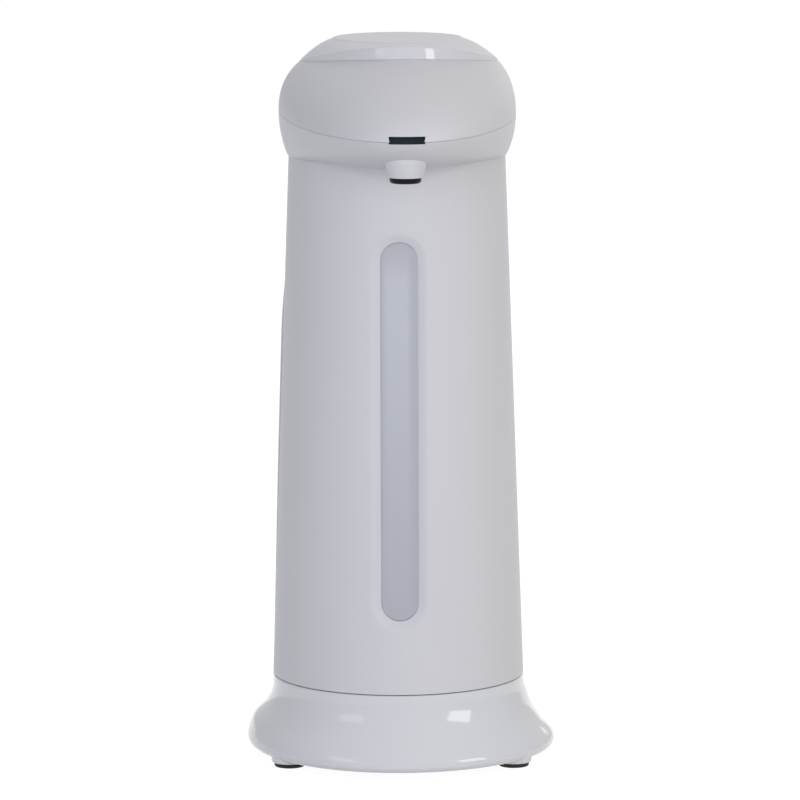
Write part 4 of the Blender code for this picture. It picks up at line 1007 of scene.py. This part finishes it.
def build_hinge_ears():
    """A bracket on each side of the lid's barrel, round the pin and down into the cover."""
    outline = [(hinge_back + knuckle_radius * math.cos(math.radians(angle)),
                hinge_height + knuckle_radius * math.sin(math.radians(angle)))
               for angle in range(-20, 201, 10)]
    outline += [(hinge_back - 2.4, hinge_height - 3.2), (hinge_back - 1.4, hinge_height - 5.0)]
    near = knuckle_half + gap
    far = near + ear_width
    for label, start, end in (("left", -far, -near), ("right", near, far)):
        ear = bmesh.new()
        loft(ear, [[(x, y, z) for y, z in outline] for x in (start, end)])
        bore = bmesh.new()
        along(bore, [(ear_bore, start - 1), (ear_bore, end + 1)], (0, hinge_back, hinge_height),
              "X")
        dress(f"hinge_ear_{label}_bracket", ear, satin, "housing", (),
              cuts=[bore], bevel=0.2)


# Refill lid: a low dome with a flat top, whose front ends in an upright glossy wall
def lid_skin(turn, share):
    """The lid's side from the top of its wall up to the plateau's edge."""
    rise = lid_rim + lid_front_wall * front_fall(turn)
    edge = (*inward(*lid_edge(turn), lid_wall_lean * rise), cover_edge_height(turn) + rise)
    flat = (lid_plateau_radius * math.sin(turn),
            lid_centre - lid_plateau_radius * math.cos(turn), top_height - plateau_step)
    pull = (flat[0] + (edge[0] - flat[0]) * dome_pull_out,
            flat[1] + (edge[1] - flat[1]) * dome_pull_out,
            edge[2] + (flat[2] - edge[2]) * dome_pull_up)
    return quadratic(edge, pull, flat, share)


def lid_lining(turn, share):
    skirt, flat = lid_oval(turn, skirt_inner), lid_skin(turn, 1)[:2]
    return (*between(skirt, flat, share), lid_skin(turn, share)[2] - lid_thickness)


def build_lid():
    skirt_low = deck_height + skirt_gap
    centre = (0, lid_centre)
    lining_shares = (1, 0.85, 0.7, 0.55, 0.4)
    under_shares = (0.02, 0.5)

    def meridian(turn):
        skin = [lid_skin(turn, share) for share in shares(22)]
        flat = skin[-1][:2]
        edge_height = cover_edge_height(turn) + lid_gap
        inner_z = lid_lining(turn, 1)[2]
        corners = [((*between(centre, flat, share), inner_z), 0) for share in under_shares]
        corners += [(lid_lining(turn, share), 0) for share in lining_shares]
        corners += [((*lid_oval(turn, skirt_inner), skirt_low), 0.3),
                    ((*lid_oval(turn, skirt_outer), skirt_low), 0.3),
                    ((*lid_oval(turn, skirt_outer), edge_height), 0.1),
                    ((*lid_edge(turn), edge_height), 0.08)]
        corners += [(skin[0], 0.7)] + [(point, 0) for point in skin[1:-1]]
        corners += [(skin[-1], 0.5), ((*between(flat, centre, 0.03), top_height), 0.3)]
        corners += [((*between(flat, centre, share), top_height), 0)
                    for share in (0.25, 0.5, 0.75, 0.98)]
        return soften(corners)

    shape = bmesh.new()
    loops = loft(shape, head_rings(meridian))
    # The wall follows the lining and the skirt's three rounded corners of five points each
    wall_first = len(under_shares) + len(lining_shares) + 3 * 5
    wall_rows = 8
    band = {vertex for loop in loops[wall_first:wall_first + wall_rows + 1] for vertex in loop}
    for face in shape.faces:
        if band.issuperset(face.verts):
            face.material_index = 1
    dress("refill_lid_skin", shape, lid_satin_lit, "lid", ["refill_lid"],
          second=lid_wall_gloss, sharp=30, twist=head_twist)


def build_lid_hinge():
    """The lid's barrel and the tongue that joins it to the lid's rear edge."""
    knuckle = bmesh.new()
    along(knuckle, collar(knuckle_bore, knuckle_radius, -knuckle_half, knuckle_half, 0.35),
          (0, hinge_back, hinge_height), "X", hollow=True)
    dress("lid_hinge_knuckle", knuckle, satin, "lid", ())
    outline = [(hinge_back - 1.2, hinge_height - 1.1), (hinge_back - 1.2, hinge_height + 1.45),
               (lid_rear_reach - 4.4, lid_edge_height + 2.0),
               (lid_rear_reach - 3.8, lid_edge_height + 1.2),
               (lid_rear_reach - 0.4, lid_edge_height + 0.4)]
    tongue = bmesh.new()
    loft(tongue, [[(x, y, z) for y, z in outline] for x in (-knuckle_half, knuckle_half)])
    dress("lid_hinge_tongue", tongue, satin, "lid", (), bevel=0.25)


def build_lid_seal():
    """The rib under the lid and the soft ring that it holds."""
    rib = bmesh.new()
    turned(rib, collar(seal_inner, seal_outer, rib_low, rib_high, 0.2), (0, lid_centre),
           hollow=True)
    dress("lid_seal_rib", rib, satin, "lid", ())
    seal = bmesh.new()
    turned(seal, soften([((seal_inner, seal_low), 0.5), ((seal_outer, seal_low), 0.5),
                         ((seal_outer, seal_high), 0.4), ((seal_inner, seal_high), 0.4)], True),
           (0, lid_centre), hollow=True)
    dress("lid_seal_ring", seal, soft_clear, "lid", ["lid_seal"])


def build_funnel():
    low = deck_height + gap
    mouth, flange_top = low - 4, low + 1.3
    bowl_outer, throat_outer = bowl_radius + funnel_wall, throat_radius + funnel_wall
    corners = [((funnel_flange, low), 0.3), ((funnel_flange, flange_top), 0.5),
               ((bowl_radius, flange_top), 0.6), ((bowl_radius, mouth), 2.0),
               ((throat_radius, throat_top), 2.5), ((throat_radius, throat_foot), 0.3),
               ((throat_outer, throat_foot), 0.3), ((throat_outer, throat_top), 2.5),
               ((bowl_outer, mouth), 2.0), ((bowl_outer, low), 0.3)]
    shape = bmesh.new()
    turned(shape, soften(corners, True), (0, lid_centre), hollow=True)
    dress("filler_funnel_bowl", shape, inner_plastic, "housing", ["filler_funnel"])


def build_nozzle():
    """The white cone under the beak and the dark tip in it."""
    centre = (0, nozzle_forward)
    seat_radius = cone_foot_radius - 0.25
    corners = [((seat_radius, nozzle_foot), 0.15), ((cone_foot_radius, nozzle_foot), 0.3),
               ((cone_radius - 0.03, nozzle_foot + 5.1), 1.1), ((cone_radius, cone_top), 0.3),
               ((cone_bore, cone_top), 0.3), ((cone_bore, tip_seat), 0.1),
               ((seat_radius, tip_seat), 0.1)]
    cone = bmesh.new()
    turned(cone, soften(corners, True), centre, 96, hollow=True)
    dress("nozzle_cone", cone, satin, "housing", ["nozzle_shroud"],
          twist=head_twist)
    low, high = nozzle_foot - 2, tip_seat - gap
    corners = [((tip_bore, low + 0.2), 0.15), ((3.4, low), 0.3), ((tip_radius, low), 1.3),
               ((tip_radius, high), 0.2), ((tip_bore, high), 0.1)]
    tip = bmesh.new()
    turned(tip, soften(corners, True, 6), centre, 96, hollow=True)
    dress("nozzle_tip_rubber", tip, tip_black, "housing", ["nozzle_tip"],
          twist=head_twist)


def build_sensor():
    """The window follows the beak's curve, its sides pinched like the slot's."""
    front, back = [], []
    for reach, z in sensor_outline():
        for grid, depth in ((front, sensor_face), (back, sensor_back)):
            grid.append([(x, depth - head_reach * math.sqrt(1 - (x / head_half_width) ** 2),
                          sensor_height + z) for x in spread(-reach, reach, 24)])
    shape = bmesh.new()
    wall_between(shape, [(front, False)], [(back, False)])
    dress("sensor_glass", shape, smoked, "housing", ["sensor_window"],
          bevel=0.12, twist=head_twist)


def build_button():
    """The power button: a satin cap with a shallow dish, on its flange and stem."""
    face, flange, foot = button_face, button_face - 3.6, button_face - 4.6
    stem_end = button_face - 7.0
    corners = [((0.02, face - 0.45), 0), ((1.6, face - 0.4), 0), ((2.6, face - 0.15), 0.3),
               ((button_radius - 1, face), 0.3), ((button_radius, face), 0.5),
               ((button_radius, flange), 0.1), ((button_flange, flange), 0.2),
               ((button_flange, foot), 0.2), ((button_stem, foot), 0.1),
               ((button_stem, stem_end), 0.1), ((0.02, stem_end), 0)]
    shape = bmesh.new()
    along(shape, soften(corners), (0, 0, button_height), "Y")
    dress("power_button_cap", shape, satin, "button", ["power_button"])


# What shows when the battery cover is off
def upright_place(name):
    """A solid's place about the column's axis, its foot and its top, in millimetres."""
    low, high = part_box(name)
    x = (low.x + high.x) / 2 / MM
    y = ((low.y + high.y) / 2 - axis_y) / MM
    return (x, y), low.z / MM, high.z / MM


def build_cell(name):
    """A cell in its wrap, with bare metal at both ends and a round tip on top."""
    centre, base, tip = upright_place(name)
    shoulder = tip - cell_tip_height
    corners = [((0.02, base), 0), ((4.2, base), 0.2), ((cell_radius - 0.65, base + 0.3), 0.3),
               ((cell_radius, base + 0.5), 0.5), ((cell_radius, shoulder - 0.5), 0.8),
               ((5.9, shoulder - 0.15), 0.2), ((5.5, shoulder - 0.3), 0.2),
               ((cell_tip_radius + 0.15, shoulder - 0.3), 0.2), ((cell_tip_radius, tip), 0.35),
               ((0.02, tip), 0)]
    shape = bmesh.new()
    turned(shape, soften(corners), centre, small_round_count)
    for face in shape.faces:
        height = face.calc_center_median().z / MM
        face.material_index = 0 if base + 0.4 < height < shoulder - 0.2 else 1
    dress(f"{name}_cell", shape, cell_sleeve, "housing", [name], second=steel)


def build_spring(name):
    """A coil of wire between the spring's foot and its top."""
    (x, y), foot, top = upright_place(name)
    low, high = foot + 0.45, top - 0.45
    rings = []
    for share in shares(coil_steps):
        turn = math.tau * coil_turns * share
        out = Vector((math.cos(turn), math.sin(turn), 0))
        centre = Vector((x, y, low + (high - low) * share)) + out * coil_radius
        rings.append([tuple(centre + out * wire_radius * math.cos(angle)
                            + Vector((0, 0, wire_radius * math.sin(angle))))
                      for angle in turns_of(10)])
    shape = bmesh.new()
    loft(shape, rings)
    dress(f"{name}_coil", shape, steel, "housing", [name])


build_stand()
build_feet()
build_column()
build_window()
build_battery_cover()
build_lower_head()
build_head_cover()
build_hinge_ears()
build_lid()
build_lid_hinge()
build_lid_seal()
build_funnel()
build_nozzle()
build_sensor()
build_button()
for number in (1, 2, 3, 4):
    build_cell(f"battery_{number}")
for number in (1, 2):
    build_spring(f"battery_spring_{number}")


# Floor, white surround, lamps and camera
def seen_white(shading, level, strength, mirrored=1.0):
    """Full strength to the camera, a share of it in reflections, the plain level as a light."""
    seen = shading.node("ShaderNodeLightPath", out="Is Camera Ray")
    for label in ("Is Glossy Ray", "Is Transmission Ray"):
        ray = shading.node("ShaderNodeLightPath", out=label)
        seen = seen.maths("MAXIMUM", seen, ray * mirrored)
    return seen * (strength - level) + level


def build_floor():
    """A white floor that catches the shadow and is plain white to the camera."""
    mesh = bpy.data.meshes.new("floor")
    shape = bmesh.new()
    bmesh.ops.create_grid(shape, x_segments=8, y_segments=8, size=8.0)
    shape.to_mesh(mesh)
    shape.free()
    floor = bpy.data.objects.new("floor", mesh)
    bpy.context.scene.collection.objects.link(floor)
    material = bpy.data.materials.new("floor_white")
    material.use_nodes = True
    paint = Shading(material.node_tree)
    paint.tree.nodes.remove(paint.tree.nodes["Principled BSDF"])
    matt = paint.node("ShaderNodeBsdfDiffuse", sockets={"Color": (0.6, 0.6, 0.6, 1)})
    glow = paint.node("ShaderNodeEmission", sockets={"Strength": 1.2})
    mixed = paint.node("ShaderNodeMixShader", sockets={
        0: seen_white(paint, level=0.0, strength=0.8), 1: matt, 2: glow})
    paint.feed(paint.tree.nodes["Material Output"].inputs["Surface"], mixed)
    mesh.materials.append(material)


def build_white_room():
    """A plain world, white to the camera and dimmer in reflections and as a light."""
    world = bpy.data.worlds.new("white_room")
    bpy.context.scene.world = world
    world.use_nodes = True
    room = Shading(world.node_tree)
    background = room.tree.nodes["Background"]
    room.feed(background.inputs["Color"], (1, 1, 1, 1))
    room.feed(background.inputs["Strength"],
              seen_white(room, level=0.42, strength=1.0, mirrored=0.5))


# Lamps: places and sizes in metres, turns in degrees
lamp_aim_height = 0.12


def softbox(name, azimuth, distance, centre_z, width, height, radiance, colour, mirrored=True):
    """A rectangular lamp that looks at the object. Azimuth 0 is in front, 90 on the right."""
    turn = math.radians(azimuth)
    place = Vector((distance * math.sin(turn), axis_y - distance * math.cos(turn), centre_z))
    lamp = bpy.data.lights.new(name, "AREA")
    lamp.shape = "RECTANGLE"
    lamp.size, lamp.size_y = width, height
    lamp.energy = radiance * math.pi * width * height
    lamp.color = colour
    holder = bpy.data.objects.new(name, lamp)
    holder.location = place
    holder.visible_glossy = mirrored
    aim = Vector((0, axis_y, lamp_aim_height)) - place
    holder.rotation_euler = aim.to_track_quat("-Z", "Y").to_euler()
    bpy.context.scene.collection.objects.link(holder)


build_floor()
build_white_room()
softbox("right_softbox", 55, 1.3, 0.58, 0.5, 0.36, 2.9, (1.0, 0.98, 0.94))
softbox("left_softbox", -46, 1.3, 0.7, 0.52, 0.36, 1.05, (0.86, 0.92, 1.0))
softbox("rear_softbox", 156, 1.3, 0.42, 0.36, 0.42, 0.6, (1.0, 0.98, 0.95))
softbox("top_scrim", 100, 0.75, 1.6, 0.8, 0.8, 1.78, (1.0, 0.985, 0.96), mirrored=False)
softbox("rear_scrim", 178, 2.1, 1.3, 1.5, 1.1, 3.1, (1.0, 0.98, 0.95), mirrored=False)
softbox("right_scrim", 22, 2.1, 0.38, 1.5, 1.1, 2.25, (1.0, 0.965, 0.92), mirrored=False)
softbox("left_scrim", -16, 2.1, 0.38, 1.5, 1.1, 2.72, (0.82, 0.875, 1.0), mirrored=False)

# Camera: turns in degrees, lengths in metres
camera_distance, camera_height = 1.9, 0.412
camera_yaw, camera_pitch, camera_roll, camera_pan = 1.7, 8.49, 0.14, 0.0469
film_width, lens_length = 36.0, 240.0
camera_data = bpy.data.cameras.new("camera")
camera_data.sensor_width, camera_data.lens = film_width, lens_length
camera_data.clip_start, camera_data.clip_end = 0.05, 40
camera = bpy.data.objects.new("camera", camera_data)
yaw = math.radians(camera_yaw)
camera.location = (-camera_distance * math.sin(yaw), axis_y - camera_distance * math.cos(yaw),
                   camera_height)
camera.rotation_mode = "XYZ"
camera.rotation_euler = (math.radians(90 - camera_pitch), math.radians(camera_roll),
                         -yaw - math.radians(camera_pan))
bpy.context.scene.collection.objects.link(camera)
bpy.context.scene.camera = camera

bpy.context.scene.view_settings.view_transform = "Standard"
